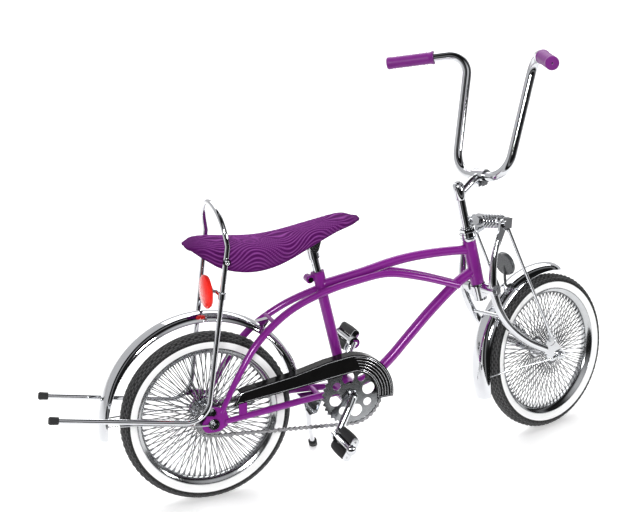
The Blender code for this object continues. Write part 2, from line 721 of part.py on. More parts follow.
def make_seat(parent):
    """The banana seat: a velour cushion with wavy raised ribs over a steel pan."""
    columns = 2 * SEAT_RIBS + 1
    stations = 17
    inner_lift = 0.006
    rings = []
    for k in range(stations):
        t = k / (stations - 1)
        swing = math.cos(math.pi * t)
        x = SEAT_REAR + (SEAT_FRONT - SEAT_REAR) * (0.5 - 0.5 * swing * (0.35 + 0.65 * abs(swing)))
        fade = min(1.0, 4.0 * t, 4.0 * (1 - t))
        row, skirt = seat_section(x, SEAT_RIB_HEIGHT * fade, columns)
        count = len(row)
        ripple = 0.42 * math.sin(2 * math.pi * (x - 0.02) / 0.135) * fade
        shifted = []
        for i, point in enumerate(row):
            a = abs(2 * i / (count - 1) - 1)
            slide = ripple * (1 - a) * min(1.0, 3 * (1 - a)) * (1 if i <= count // 2 else -1)
            j = i + (1 if slide > 0 else -1)
            j = min(max(j, 0), count - 1)
            shifted.append(point.lerp(row[j], abs(slide)) if 0 < i < count - 1 else point)
        ring = [Vector((x, p.y, p.z)) for p in shifted]
        half = ring[-1].y
        under = skirt + inner_lift
        ring += [Vector((x, half * 0.80, under)), Vector((x, 0, under + 0.004)),
                 Vector((x, -half * 0.80, under))]
        rings.append(ring)
    cushion = solid("cushion", loft(rings))
    place(cushion, "seat_cushion", "velour", parent, 60.0)

    floor = []
    for k in range(9):
        x = 0.030 + (0.345 - 0.030) * k / 8
        half = blend_values(x, SEAT_WIDTHS) * 0.75
        skirt = blend_values(x, SEAT_SKIRT)
        top = skirt + inner_lift - 2 * GAP
        flange = 0.005
        thick = 0.0016
        floor.append([
            Vector((x, -half, top - flange)), Vector((x, -half * 0.86, top - 0.0006)),
            Vector((x, 0, top + 0.0030)),
            Vector((x, half * 0.86, top - 0.0006)), Vector((x, half, top - flange)),
            Vector((x, half - thick, top - flange - thick)), Vector((x, half * 0.84, top - 0.0006 - thick)),
            Vector((x, 0, top + 0.0030 - thick)), Vector((x, -half * 0.84, top - 0.0006 - thick)),
            Vector((x, -half + thick, top - flange - thick)),
        ])
    # Two ears hang from the pan and hold the post's clamp between them
    eye = seat_axis_point(SEAT_POST_TOP + SADDLE_EYE_RISE)
    in_pan = inner_lift - 2 * GAP - 0.0002
    rear, front = (eye.x - 0.020, eye.x + 0.020)
    outline = [(front, blend_values(front, SEAT_SKIRT) + in_pan),
               (rear, blend_values(rear, SEAT_SKIRT) + in_pan),
               *arc((eye.x, eye.z), SADDLE_EAR_RADIUS, 190, 350, 6)]
    ears = [plate(outline, *sorted((s * SADDLE_EAR_Y, s * (SADDLE_EAR_Y + 0.0025)))) for s in (-1, 1)]
    place(combined(solid("pan", loft(floor)), ears), "seat_pan", "steel", parent)


def hoop_leg(z, side):
    """A point on the centre line of the hoop's upright leg at a height."""
    share = (z - HOOP_CORNER[1]) / (HOOP_SHOULDER[1] - HOOP_CORNER[1])
    x = HOOP_CORNER[0] + (HOOP_SHOULDER[0] - HOOP_CORNER[0]) * share
    return Vector((x, side * (HOOP_ROD_Y + (HOOP_LOOP_Y - HOOP_ROD_Y) * share), z))


def make_hoop(parent):
    """The backrest hoop, whose two legs bend back into wheelie rods with rubber end caps."""
    lower = hoop_leg(HOOP_CORNER[1], -1)
    tip = Vector((-0.343, -HOOP_ROD_Y, 0.2727))
    shoulder = hoop_leg(HOOP_SHOULDER[1], -1)
    legs = bent_path([tip, lower, shoulder], [0.050], 4)[:-1]
    loop = []
    steps = 10
    for i in range(steps + 1):
        a = math.pi * i / steps
        y = -HOOP_LOOP_Y * math.cos(a)
        rise = math.sin(a) ** 0.8
        loop.append(Vector((shoulder.x - 0.010 * rise, y, shoulder.z + (HOOP_TOP_Z - shoulder.z) * rise)))
    path = legs + loop + [Vector((p.x, -p.y, p.z)) for p in reversed(legs)]
    hoop = rod(path, HOOP_RADIUS, 8)
    adds = []
    x, z = HOOP_EYELET
    for side in (-1, 1):
        foot = REAR_DROPOUT_HALF_GAP + DROPOUT_THICKNESS + GAP
        adds.append(plate(circle((x, z), 0.0080, 10), *sorted((side * foot, side * (HOOP_ROD_Y - 0.005)))))
        adds.append(plate([(x, z - 0.007), (x - 0.028, z - 0.004), (x - 0.024, z + 0.008), (x, z + 0.007)],
                          *sorted((side * (foot + 0.006), side * (HOOP_ROD_Y - 0.0025)))))
        adds.append(hexagon((x, side * (HOOP_ROD_Y - 0.0055), z), (x, side * (HOOP_ROD_Y + 0.0010), z),
                            0.0120))
        bar = hoop_leg(HOOP_BOLT_Z, side)
        adds.append(cylinder(bar, (bar.x, side * HOOP_SPACER_Y, bar.z), 0.0060, 10))
    place(combined(hoop, adds), "backrest_hoop", "chrome", parent)

    rod_line = (tip - Vector(lower)).normalized()
    for side, label in ((-1, "right"), (1, "left")):
        start = Vector((tip.x, side * HOOP_ROD_Y, tip.z)) - rod_line * 0.006
        end = start + rod_line * 0.0205
        length = (end - start).length
        profile = [(HOOP_RADIUS + 2 * GAP, 0), (0.0082, 0), (0.0088, length * 0.85), (0.0070, length),
                   (0.0010, length)]
        cap = turned(profile + [(0.0010, 0.0066), (HOOP_RADIUS + 2 * GAP, 0.0066)], 10, along(start, end),
                     ring=True)
        place(cap, "wheelie_cap_" + label, "rubber", parent)

    for side, label in ((-1, "right"), (1, "left")):
        bar = hoop_leg(HOOP_BOLT_Z, side)
        face = bar + Vector((0, side * (HOOP_RADIUS + GAP), 0))
        washer = cylinder(face, face + Vector((0, side * 0.0018, 0)), 0.0085, 10)
        nut = dome_nut(face + Vector((0, side * 0.0012, 0)), face + Vector((0, side * 0.0125, 0)), 0.0115)
        place(combined(washer, [nut]), "hoop_nut_" + label, "chrome", parent)


def reflector_disc(matrix, radius, depth):
    """A round reflector: a shallow dished housing with a domed face towards +Y."""
    profile = [(radius * 0.92, -depth * 0.5), (radius, 0), (radius, depth * 0.35),
               (radius * 0.85, depth * 0.75),
               (radius * 0.25, depth)]
    return turned(profile, 20, matrix)


def make_reflectors(frame_parent, springer_parent):
    centre = Vector((0.006, -0.036, 0.4970))
    facing = Matrix.Translation(centre) @ Matrix.Rotation(math.radians(90), 4, "Z")
    place(reflector_disc(facing, 0.0375, 0.011), "rear_reflector", "red_lens", frame_parent)

    at_bar = hoop_leg(centre.z, -1)
    lean = (hoop_leg(HOOP_SHOULDER[1], -1) - hoop_leg(HOOP_CORNER[1], -1)).normalized()
    ring = tube(at_bar - lean * 0.007, at_bar + lean * 0.007, HOOP_RADIUS + 0.0028, HOOP_RADIUS + 0.0006, 12)
    arm_start = centre + Vector((0.0100, 0, 0))
    strap = rod([arm_start, centre + Vector((0.020, -0.012, 0)), at_bar + Vector((-0.001, 0.0085, 0))],
                0.0042, 8)
    back = cylinder(centre + Vector((0.0058, 0, 0)), centre + Vector((0.0125, 0, 0)), 0.012, 12)
    bore = cylinder(at_bar - lean * 0.02, at_bar + lean * 0.02, HOOP_RADIUS + 0.0006, 12)
    place(combined(ring, [strap, back], [bore]), "reflector_bracket", "chrome", frame_parent)

    centre = Vector((0.0980, 0, 0.2370 - PIVOT_Z))
    facing = Matrix.Translation(centre) @ Matrix.Rotation(math.radians(-90), 4, "Z")
    disc = reflector_disc(facing, 0.0300, 0.010)
    touch = math.radians(110)
    foot_x = FRONT_FENDER_CENTRE[0] + (FRONT_FENDER_RADIUS + GAP) * math.cos(touch)
    foot_z = FRONT_FENDER_CENTRE[1] + (FRONT_FENDER_RADIUS + GAP) * math.sin(touch)
    stalk = rod([centre + Vector((-0.0030, 0, -0.004)), (foot_x, 0, foot_z + 0.012),
                 (foot_x, 0, foot_z + GAP)],
                0.0034, 8)
    place(combined(disc, [stalk]), "front_reflector", "clear_lens", springer_parent)


def fender_section(radius, angle, centre, flare, grow):
    """A curved sheet section in the wheel's radial plane, as an outer row and an inner row of points."""
    radial = (math.cos(angle), math.sin(angle))
    rows = []
    for skin in (0.0, FENDER_SHEET):
        row = []
        for i in range(5):
            s = 2 * i / 4 - 1
            half = (FENDER_HALF_WIDTH - skin * 0.6) * grow
            y = half * math.sin(s * math.pi / 2 * 0.97)
            drop = FENDER_CROWN * (1 - math.cos(s * math.pi / 2)) * grow
            r = radius + flare - skin - drop
            row.append(Vector((centre[0] + r * radial[0], y, centre[1] + r * radial[1])))
        rows.append(row)
    return rows[0] + rows[1][::-1]


def fender(radius, centre, start, end, flare_end, flare, steps, nose=1.0):
    """A fender from one angle to another, in degrees, whose flared end turns up and narrows."""
    rings = []
    for k in range(steps + 1):
        t = k / steps
        angle = math.radians(start + (end - start) * t)
        near_flare = max(0.0, 1 - abs(t - flare_end) / 0.16)
        near_nose = max(0.0, 1 - abs(t - (1 - flare_end)) / 0.08)
        grow = 1 - 0.10 * near_flare**2 - 0.22 * nose * near_nose**2
        rings.append(fender_section(radius, angle, centre,
                                    flare * near_flare**2 - 0.006 * nose * near_nose**2, grow))
    return solid("fender", loft(rings))


def make_rear_fender(parent):
    centre = (-0.0070, AXLE_HEIGHT + 0.0100)
    shell = fender(REAR_FENDER_RADIUS, centre, 10, 186, 1.0, 0.004, 16, 0.0)
    low, high = math.radians(50), math.radians(56)
    sunk = REAR_FENDER_RADIUS - 0.0008
    lug = plate([(centre[0] + sunk * math.cos(low), centre[1] + sunk * math.sin(low)),
                 (FENDER_BRIDGE[0] - 0.0045, FENDER_BRIDGE[1] - 0.0050),
                 (FENDER_BRIDGE[0] - 0.0060, FENDER_BRIDGE[1] + 0.0020),
                 (centre[0] + sunk * math.cos(high), centre[1] + sunk * math.sin(high))], -0.0080, 0.0080)
    place(combined(shell, [lug]), "rear_fender", "chrome", parent)

    # A wire stay from the axle on each side, joined across inside the fender
    z = AXLE_HEIGHT
    y = REAR_DROPOUT_HALF_GAP + DROPOUT_THICKNESS + GAP
    eye_y = y + 0.0022
    inside = REAR_FENDER_RADIUS - 0.0060
    wire = bent_path([
        (-0.0115, -eye_y, z), (-0.033, -eye_y, z + 0.002), (-0.170, -0.0350, z + 0.0170),
        (-inside, -0.0260, z + 0.0200), (-inside, 0.0260, z + 0.0200), (-0.170, 0.0350, z + 0.0170),
        (-0.033, eye_y, z + 0.002), (-0.0115, eye_y, z)],
        [0.01, 0.05, 0.008, 0.008, 0.05, 0.01], 1)
    stay = rod(wire, 0.0019, 4)
    eyes = [plate(circle((0, z), 0.0130, 10), *sorted((s * y, s * (y + 0.0018)))) for s in (-1, 1)]
    holes = [cylinder((0, s * (y - 0.005), z), (0, s * (y + 0.007), z), AXLE_RADIUS + 3 * GAP,
                      8) for s in (-1, 1)]
    place(combined(stay, eyes, holes), "rear_fender_stay", "chrome", parent)


def make_guard(parent):
    """The chain guard: a tapering side plate with a hooked nose, and a flange turned in over the chain."""
    outer_r, inner_r = 0.1005, 0.0600
    centre = (BB_X - 0.003, BB_Z)
    face = -0.0590
    thick = 0.0015
    nose_out = arc(centre, outer_r, -8, 98, 12)
    nose_in = arc(centre, inner_r, 82, -14, 9)
    upper = [(0.2700, 0.3000), (0.1980, 0.2830), (0.0760, 0.2640), (0.0640, 0.2600)]
    lower = [(0.0480, 0.2310), (0.0620, 0.2345), (0.2040, 0.2500), (0.3010, 0.2620)]
    outline = nose_out + upper + lower + nose_in
    side = plate(outline, face, face + thick)
    bolt = hexagon((0.0720, face - 0.0025, 0.2430), (0.0720, face + 0.001, 0.2430), 0.0080)
    ridge = nose_out + upper
    edge = []
    for i, (x, z) in enumerate(ridge):
        before = ridge[max(i - 1, 0)]
        after = ridge[min(i + 1, len(ridge) - 1)]
        run = Vector((after[0] - before[0], after[1] - before[1])).normalized()
        edge.append((x - run.y * thick, z + run.x * thick))
    flange = plate(ridge + edge[::-1], face + 0.0004, face + 0.026)
    post = seat_axis_point(0.090)
    strap = cylinder((post.x + 0.001, -SEAT_TUBE_RADIUS - GAP, post.z),
                     (post.x + 0.001, face + 0.0008, post.z), 0.0035, 8)
    place(combined(side, [flange, strap, bolt]), "chain_guard", "black_enamel", parent)


def sprocket(teeth, y, phase, holes, bore):
    """A toothed disc in the XZ plane. The phase is the angle of a gap between two teeth."""
    pitch_radius = CHAIN_PITCH / (2 * math.sin(math.pi / teeth))
    outline = []
    for k in range(teeth):
        middle = phase + (k + 0.5) * 2 * math.pi / teeth
        step = 2 * math.pi / teeth
        for share, r in ((-0.5, pitch_radius - ROOT_DEPTH), (0.0, pitch_radius + TOOTH_HEIGHT)):
            a = middle + share * step
            outline.append((r * math.cos(a), r * math.sin(a)))
    half = SPROCKET_THICKNESS / 2
    return plate(outline, y - half, y + half, [*holes, circle((0, 0), bore, 14)])


def chain_pins():
    """Places of the chain's pins round both sprockets, starting on top of the chainring."""
    ring_r = CHAIN_PITCH / (2 * math.sin(math.pi / RING_TEETH))
    cog_r = CHAIN_PITCH / (2 * math.sin(math.pi / COG_TEETH))
    run = Vector((BB_X, BB_Z - AXLE_HEIGHT))
    distance = run.length
    tilt = math.atan2(run.y, run.x)
    lean = math.asin((ring_r - cog_r) / distance)
    straight = math.sqrt(distance**2 - (ring_r - cog_r) ** 2)
    ring_arc = ring_r * (math.pi + 2 * lean)
    cog_arc = cog_r * (math.pi - 2 * lean)
    total = ring_arc + cog_arc + 2 * straight
    top = tilt + math.pi / 2 + lean
    pins = []
    for k in range(CHAIN_LINKS):
        s = total * k / CHAIN_LINKS
        if s < straight:
            a = top
            start = Vector((BB_X + ring_r * math.cos(a), BB_Z + ring_r * math.sin(a)))
            end = Vector((cog_r * math.cos(a), AXLE_HEIGHT + cog_r * math.sin(a)))
            pins.append(start.lerp(end, s / straight))
            continue
        s -= straight
        if s < cog_arc:
            a = top + s / cog_r
            pins.append(Vector((cog_r * math.cos(a), AXLE_HEIGHT + cog_r * math.sin(a))))
            continue
        s -= cog_arc
        low = tilt - math.pi / 2 - lean
        if s < straight:
            start = Vector((cog_r * math.cos(low), AXLE_HEIGHT + cog_r * math.sin(low)))
            end = Vector((BB_X + ring_r * math.cos(low), BB_Z + ring_r * math.sin(low)))
            pins.append(start.lerp(end, s / straight))
            continue
        s -= straight
        a = low + s / ring_r
        pins.append(Vector((BB_X + ring_r * math.cos(a), BB_Z + ring_r * math.sin(a))))
    return pins


def gap_phase(centre):
    """The angle of the chain pin that lies furthest round a sprocket from the other one."""
    away = 1 if centre.x > BB_X / 2 else -1
    nearest = max(chain_pins(), key=lambda p: away * (p.x - centre.x) - abs(p.y - centre.y))
    return math.atan2(nearest.y - centre.y, nearest.x - centre.x)


def make_chain(parent):
    """The chain as one closed band: two rows of side plates joined over the teeth, open towards them."""
    pins = chain_pins()
    count = len(pins)
    inner = CHAIN_INNER_WIDTH / 2
    tall = CHAIN_HEIGHT / 2
    roof = TOOTH_HEIGHT + 3 * GAP
    rings = []
    for k in range(count):
        run = (pins[(k + 1) % count] - pins[k - 1]).normalized()
        inward = Vector((-run.y, run.x))
        outer = inner + CHAIN_PLATE + (CHAIN_STEP if k % 4 < 2 else 0)
        ring = []
        for y, height in ((-outer, tall), (-outer, -tall), (-inner, -tall), (-inner, roof),
                          (inner, roof), (inner, -tall), (outer, -tall), (outer, tall)):
            at = pins[k] - inward * height
            ring.append(Vector((at.x, CHAIN_Y + y, at.y)))
        rings.append(ring)
    place(solid("chain", loft(rings, True)), "chain", "steel", parent, 30.0)


def make_crank(parent):
    """The one-piece crank and its chainring. The right arm points along +X."""
    arm = CRANK_ARM_Y
    half = [(CRANK_LENGTH, -arm - 0.001, 0), (0.030, -arm + 0.0125, 0), (0.0, -0.0520, 0)]
    path = bent_path(half + [(0, 0.0520, 0), (-0.030, arm - 0.0125, 0), (-CRANK_LENGTH, arm + 0.001, 0)],
                     [0.030, 0.010, 0.010, 0.030], 2)
    radii = []
    for point in path:
        share = min(abs(point.x) / 0.030, 1.0)
        radii.append(0.0108 * (1 - share) + CRANK_RADIUS * share)
    bar = rod(path, radii, 8)
    adds = []
    for side in (-1, 1):
        x = -side * CRANK_LENGTH
        face = side * (arm + 0.0010)
        adds.append(cylinder((x, face - side * 0.008, 0), (x, face + side * 0.008, 0), 0.0135, 12))
        adds.append(cylinder((x, face, 0), (x, face + side * (PEDAL_LENGTH - 0.0050), 0), 0.0048, 8))
        adds.append(cylinder((0, side * 0.0355, 0),
                             (0, side * (abs(CHAIN_Y) - SPROCKET_THICKNESS / 2 - GAP), 0),
                             0.0165, 14))
    crank = combined(bar, adds)
    place(crank, "crank", "chrome", parent)

    holes = []
    for k in range(4):
        a = math.radians(90 * k)
        holes.append(circle((0.0445 * math.cos(a), 0.0445 * math.sin(a)), 0.0100, 6))
        b = a + math.radians(45)
        holes.append(circle((0.0420 * math.cos(b), 0.0420 * math.sin(b)), 0.0155, 8))
    phase = gap_phase(Vector((BB_X, BB_Z))) - CRANK_ANGLE
    place(sprocket(RING_TEETH, CHAIN_Y, phase, holes, 0.0116), "chainring", "chrome", parent)


def make_pedal(parent, side, label):
    """A pedal whose own Y axis is its spindle: a chrome cage and barrel, and two rubber treads."""
    start = side * (CRANK_ARM_Y + 0.0010 + 0.0080 + 0.0012)
    end = start + side * (PEDAL_LENGTH - 0.006)
    barrel = tube((0, start, 0), (0, end, 0), 0.0085, 0.0053, 10)
    reach = 0.0310
    ends = []
    for y in (start, end - side * 0.0025):
        outline = arc((reach - 0.012, 0), 0.012, -90, 90, 4) + arc((-reach + 0.012, 0), 0.012, 90, 270, 4)
        ends.append(plate(outline, *sorted((y, y + side * 0.0025))))
    cap_end = end + side * 0.010
    cap = turned([(0.0120, 0), (0.0120, 0.004), (0.0095, 0.008)], 10,
                 along((0, end - side * 0.0002, 0), (0, cap_end, 0)))
    rails = [cylinder((s * 0.0195, start, 0), (s * 0.0195, end, 0), 0.0026, 6) for s in (-1, 1)]
    bore = cylinder((0, start - side * 0.01, 0), (0, start + side * (PEDAL_LENGTH - 0.0085), 0), 0.0053, 10)
    cage = combined(barrel, [*ends, cap, *rails], [bore])
    place(cage, "pedal_cage_" + label, "chrome", parent)
    for s, where in ((-1, "rear"), (1, "front")):
        inner_y = start + side * (0.0025 + GAP)
        outer_y = end - side * (0.0025 + GAP)
        outline = [(0.0100, -0.0095), (0.0130, -0.0120), (0.0265, -0.0110), (0.0300, -0.0070),
                   (0.0300, 0.0070),
                   (0.0265, 0.0110), (0.0130, 0.0120), (0.0100, 0.0095)]
        block = plate([(s * x, z) for x, z in outline], *sorted((inner_y, outer_y)),
                      [circle((s * 0.0195, 0), 0.0026 + 2 * GAP, 6)])
        place(block, "pedal_rubber_" + where + "_" + label, "rubber", parent)


def make_rear_axle(parent):
    z = AXLE_HEIGHT
    seat = REAR_DROPOUT_HALF_GAP + DROPOUT_THICKNESS + 0.0018 + 2 * GAP
    axle = cylinder((0, -seat - 0.014, z), (0, seat + 0.014, z), AXLE_RADIUS, 12)
    nuts = [hexagon((0, s * seat, z), (0, s * (seat + 0.008), z), 0.0150) for s in (-1, 1)]
    place(combined(axle, nuts), "rear_axle", "chrome", parent)

    # Coaster brake arm on the left, strapped to the chainstay
    low, high = 0.0465, 0.0490
    outline = arc((0, z), 0.0135, 60, 250, 6) + [(0.020, z - 0.0190), (0.116, z - 0.0130),
                                                 (0.128, z - 0.0090),
                                                 (0.128, z - 0.0040), (0.100, z - 0.0050),
                                                 (0.030, z - 0.0090),
                                                 (0.012, z + 0.0060)]
    arm = plate(outline, low, high, [circle((0, z), AXLE_RADIUS + 3 * GAP, 8)])
    stay_at = Vector((0.116, 0.0497, 0.2045))
    strap = tube(stay_at - Vector((0.005, 0, 0)), stay_at + Vector((0.005, 0, 0)), CHAINSTAY_RADIUS + 0.0032,
                 CHAINSTAY_RADIUS + 0.0016, 12)
    hold = plate([(0.112, z - 0.0100), (0.120, z - 0.0100), (0.120, z - 0.0030), (0.112, z - 0.0030)],
                 0.0470, 0.0530)
    keep = cylinder(stay_at - Vector((0.02, 0, 0)), stay_at + Vector((0.02, 0, 0)),
                    CHAINSTAY_RADIUS + 0.0016, 12)
    place(combined(arm, [strap, hold], [keep]), "coaster_brake_arm", "chrome", parent)


def make_rear_cog(parent):
    """The driver's cog, on the rear wheel's axis."""
    phase = gap_phase(Vector((0.0, AXLE_HEIGHT)))
    disc = sprocket(COG_TEETH, CHAIN_Y, phase, [], 0.0100)
    sleeve = tube((0, CHAIN_Y - 0.0035, 0), (0, CHAIN_Y + 0.0018, 0), 0.0150, AXLE_RADIUS + 2 * GAP, 12)
    place(combined(disc, [sleeve]), "rear_cog", "steel", parent)


def make_bottom_bracket(parent):
    for side, label in ((-1, "right"), (1, "left")):
        start = side * (BB_HALF_WIDTH - 0.006)
        face = side * (BB_HALF_WIDTH + 0.0014)
        profile = [(BB_BORE - 3 * GAP, 0), (BB_BORE - 3 * GAP, 0.0063), (BB_RADIUS - 0.001, 0.0063 + GAP),
                   (BB_RADIUS - 0.002, 0.0078 + GAP), (0.0185, 0.0078 + GAP), (0.0185, 0)]
        cup = turned(profile, 14, along((BB_X, start, BB_Z), (BB_X, face + side * 0.01, BB_Z)), ring=True)
        place(cup, "bottom_bracket_cup_" + label, "chrome", parent)


# The kickstand in the bicycle's frame: its pivot, and where its foot meets the ground
STAND_PIVOT = Vector((0.2465, 0.0140, 0.1735))
STAND_FOOT = Vector((0.3030, 0.1450, AXLE_HEIGHT - WHEEL_RADIUS + 0.0150))
STAND_AXIS = Vector((0, 0.924, 0.383)).normalized()


def make_kickstand(frame_parent, stand_parent):
    """The bracket under the chainstays, and the leg and foot. The leg's objects are about its pivot."""
    cheek = [(0.2260, 0.2015), (0.2780, 0.2015), (0.2700, 0.1840), (0.2600, 0.1625), (0.2420, 0.1600),
             (0.2330, 0.1740)]
    block = plate(cheek, -0.0120, -0.0010)
    ledge = plate([(0.2260, 0.1985), (0.2780, 0.1985), (0.2780, 0.2015), (0.2260, 0.2015)], -0.0300, 0.0300)
    pin_start = STAND_PIVOT - STAND_AXIS * 0.0230
    pin_end = STAND_PIVOT + STAND_AXIS * 0.0130
    pin = cylinder(pin_start, pin_end, 0.0045, 12)
    place(combined(block, [ledge, pin]), "kickstand_bracket", "chrome", frame_parent)

    knee = Vector((0.2640, 0.0560, 0.1020))
    toe_line = (STAND_FOOT - knee).normalized()
    leg_end = STAND_FOOT - STAND_PIVOT - toe_line * 0.010
    route = [STAND_AXIS * 0.0005, knee - STAND_PIVOT, leg_end]
    leg = rod(bent_path(route, [0.05], 4), 0.0065, 8)
    hub = cylinder(-STAND_AXIS * 0.0070, STAND_AXIS * 0.0110, 0.0115, 12)
    bore = cylinder(-STAND_AXIS * 0.03, STAND_AXIS * 0.03, 0.0045 + GAP, 10)
    place(combined(leg, [hub], [bore]), "kickstand_leg", "chrome", stand_parent)

    sheath = cylinder(leg_end - toe_line * 0.014, leg_end + toe_line * 0.043, 0.0105, 14)
    socket = cylinder(leg_end - toe_line * 0.030, leg_end + toe_line * GAP, 0.0065 + 2 * GAP, 10)
    foot = combined(sheath, [], [socket])
    shape = bmesh.new()
    shape.from_mesh(foot.data)
    ground = GROUND_UP * -GROUND_DROP - STAND_PIVOT
    cut = bmesh.ops.bisect_plane(shape, geom=[*shape.verts, *shape.edges, *shape.faces], plane_co=ground,
                                 plane_no=-GROUND_UP, clear_outer=True)
    edges = [e for e in cut["geom_cut"] if isinstance(e, bmesh.types.BMEdge)]
    bmesh.ops.contextual_create(shape, geom=edges)
    bpy.data.objects.remove(foot, do_unlink=True)
    place(solid("foot", shape), "kickstand_foot", "rubber", stand_parent)


def make_headset(frame_parent, steering_parent):
    """Cups pressed into the head tube stay with the frame; the lock nut turns with the steerer."""
    low, high = HEAD_TUBE_BOTTOM, HEAD_TUBE_TOP
    bore = STEERER_RADIUS + 2 * GAP
    for label, start, end in (
            ("upper", fork_point(0, 0, high + GAP), fork_point(0, 0, high + 0.02)),
            ("lower", fork_point(0, 0, low - GAP), fork_point(0, 0, low - 0.02))):
        profile = [(bore, 0), (HEAD_TUBE_RADIUS + 0.0005, 0), (0.0195, 0.0050), (0.0195, 0.0085),
                   (0.0165, 0.0105), (bore, 0.0105)]
        if label == "lower":
            profile = [(bore, 0), (HEAD_TUBE_RADIUS + 0.0005, 0), (0.0185, 0.0025), (0.0165, 0.0040),
                       (bore, 0.0040)]
        place(turned(profile, 14, along(start, end), ring=True), "headset_cup_" + label, "chrome",
              frame_parent)

    base = high + 0.0105 + 2 * GAP + 0.0070 + 2 * GAP
    nut = combined(hexagon((0, 0, base), (0, 0, base + 0.0100), 0.0320),
                   [cylinder((0, 0, base), (0, 0, base + 0.0030), 0.0190, 14)],
                   [cylinder((0, 0, base - 0.01), (0, 0, base + 0.02), bore, 14)])
    place(nut, "headset_lock_nut", "chrome", steering_parent)


def spring_line(distance):
    """A point on the fork spring's axis, measured forward from its rear seat."""
    start = Vector((SPRING_START[0], 0, SPRING_START[1]))
    end = Vector((SPRING_END[0], 0, SPRING_END[1]))
    return start + (end - start).normalized() * distance


def make_fork_crown(parent):
    steerer = cylinder((0, 0, PIVOT_Z - 0.010), (0, 0, STEERER_TOP), STEERER_RADIUS, 16)
    race = cylinder((0, 0, HEAD_TUBE_BOTTOM - 0.0080), (0, 0, HEAD_TUBE_BOTTOM - 0.0040 - 2 * GAP), 0.0185,
                    14)
    boot = cylinder((0, 0, 0.1850), (0, 0, HEAD_TUBE_BOTTOM - 0.0070), 0.0160, 14)
    quarter = Matrix.Rotation(math.pi / 2, 4, "Z")
    body = plate([(-0.0400, 0.2070), (-0.0140, 0.1900), (0.0140, 0.1900), (0.0400, 0.2070), (0.0400, 0.2175),
                  (-0.0400, 0.2175)], -0.0085, 0.0085, matrix=quarter)
    inner_face = LEG_Y - LEG_BOSS_HALF - GAP
    bosses = [cylinder((0, s * 0.0215, PIVOT_Z), (0, s * inner_face, PIVOT_Z), 0.0125, 12) for s in (-1, 1)]
    bolt = cylinder((0, -LEG_Y - 0.0145, PIVOT_Z), (0, LEG_Y + 0.0145, PIVOT_Z), 0.0045, 8)
    outer_face = LEG_Y + LEG_BOSS_HALF + GAP
    heads = [hexagon((0, s * outer_face, PIVOT_Z), (0, s * (outer_face + 0.0070), PIVOT_Z),
                     0.0140) for s in (-1, 1)]
    bore = cylinder((0, 0, 0.245), (0, 0, STEERER_TOP + 0.02), STEERER_BORE, 16)
    crown = combined(steerer, [race, boot, body, *bosses, bolt, *heads], [bore])
    place(crown, "fork_crown", "chrome", parent)

    # The bracket that holds the rear end of the spring, clamped under the lock nut
    base = HEAD_TUBE_TOP + 0.0105 + 2 * GAP
    top = base + 0.0070
    ring = tube((0, 0, base), (0, 0, top), 0.0200, STEERER_RADIUS + 2 * GAP, 14)
    tongue = plate([(0.0150, base), (0.0420, base + 0.0020), (0.0420, top + 0.0020), (0.0150, top)],
                   -0.0150, 0.0150)
    seat_face = spring_line(-0.0028)
    disc = cylinder(spring_line(-0.0075), seat_face, 0.0175, 14)
    relief = cylinder((0, 0, base - 0.01), (0, 0, top + 0.01), STEERER_RADIUS + 2 * GAP, 14)
    slack = cylinder(spring_line(-0.03), spring_line(0.02), 0.0085, 10)
    bracket = combined(ring, [tongue, disc], [relief, slack])
    place(bracket, "spring_bracket", "chrome", parent)


def make_spring(parent):
    """The fork's coil spring, one unbroken wire between its two seats."""
    axis = (spring_line(1) - spring_line(0)).normalized()
    side = Vector((0, 1, 0))
    top = side.cross(axis)
    length = (spring_line(0) - Vector((SPRING_END[0], 0, SPRING_END[1]))).length
    per_turn = 8
    total = SPRING_TURNS * per_turn
    points = []
    for i in range(total + 1):
        a = 2 * math.pi * i / per_turn
        at = spring_line(length * i / total)
        points.append(at + side * (SPRING_RADIUS * math.cos(a)) + top * (SPRING_RADIUS * math.sin(a)))
    apart = min((p - q).length for i, p in enumerate(points) for q in points[i + per_turn - 1:])
    print("spring: least gap to itself", round((apart - 2 * SPRING_WIRE) * 1000, 2), "mm")
    place(rod(points, SPRING_WIRE, 5), "fork_spring", "chrome", parent, 60.0)


def leg_knots():
    """The centre line of a bent fork leg, from its top past the pivot to the axle plate."""
    return [(0.0430, 0.3260), (0.0230, 0.2940), (0.0070, 0.2520), (0.0, PIVOT_Z), (0.0060, 0.1600),
            (0.0290, 0.1040), (0.0740, 0.0480), (0.1280, 0.0020)]


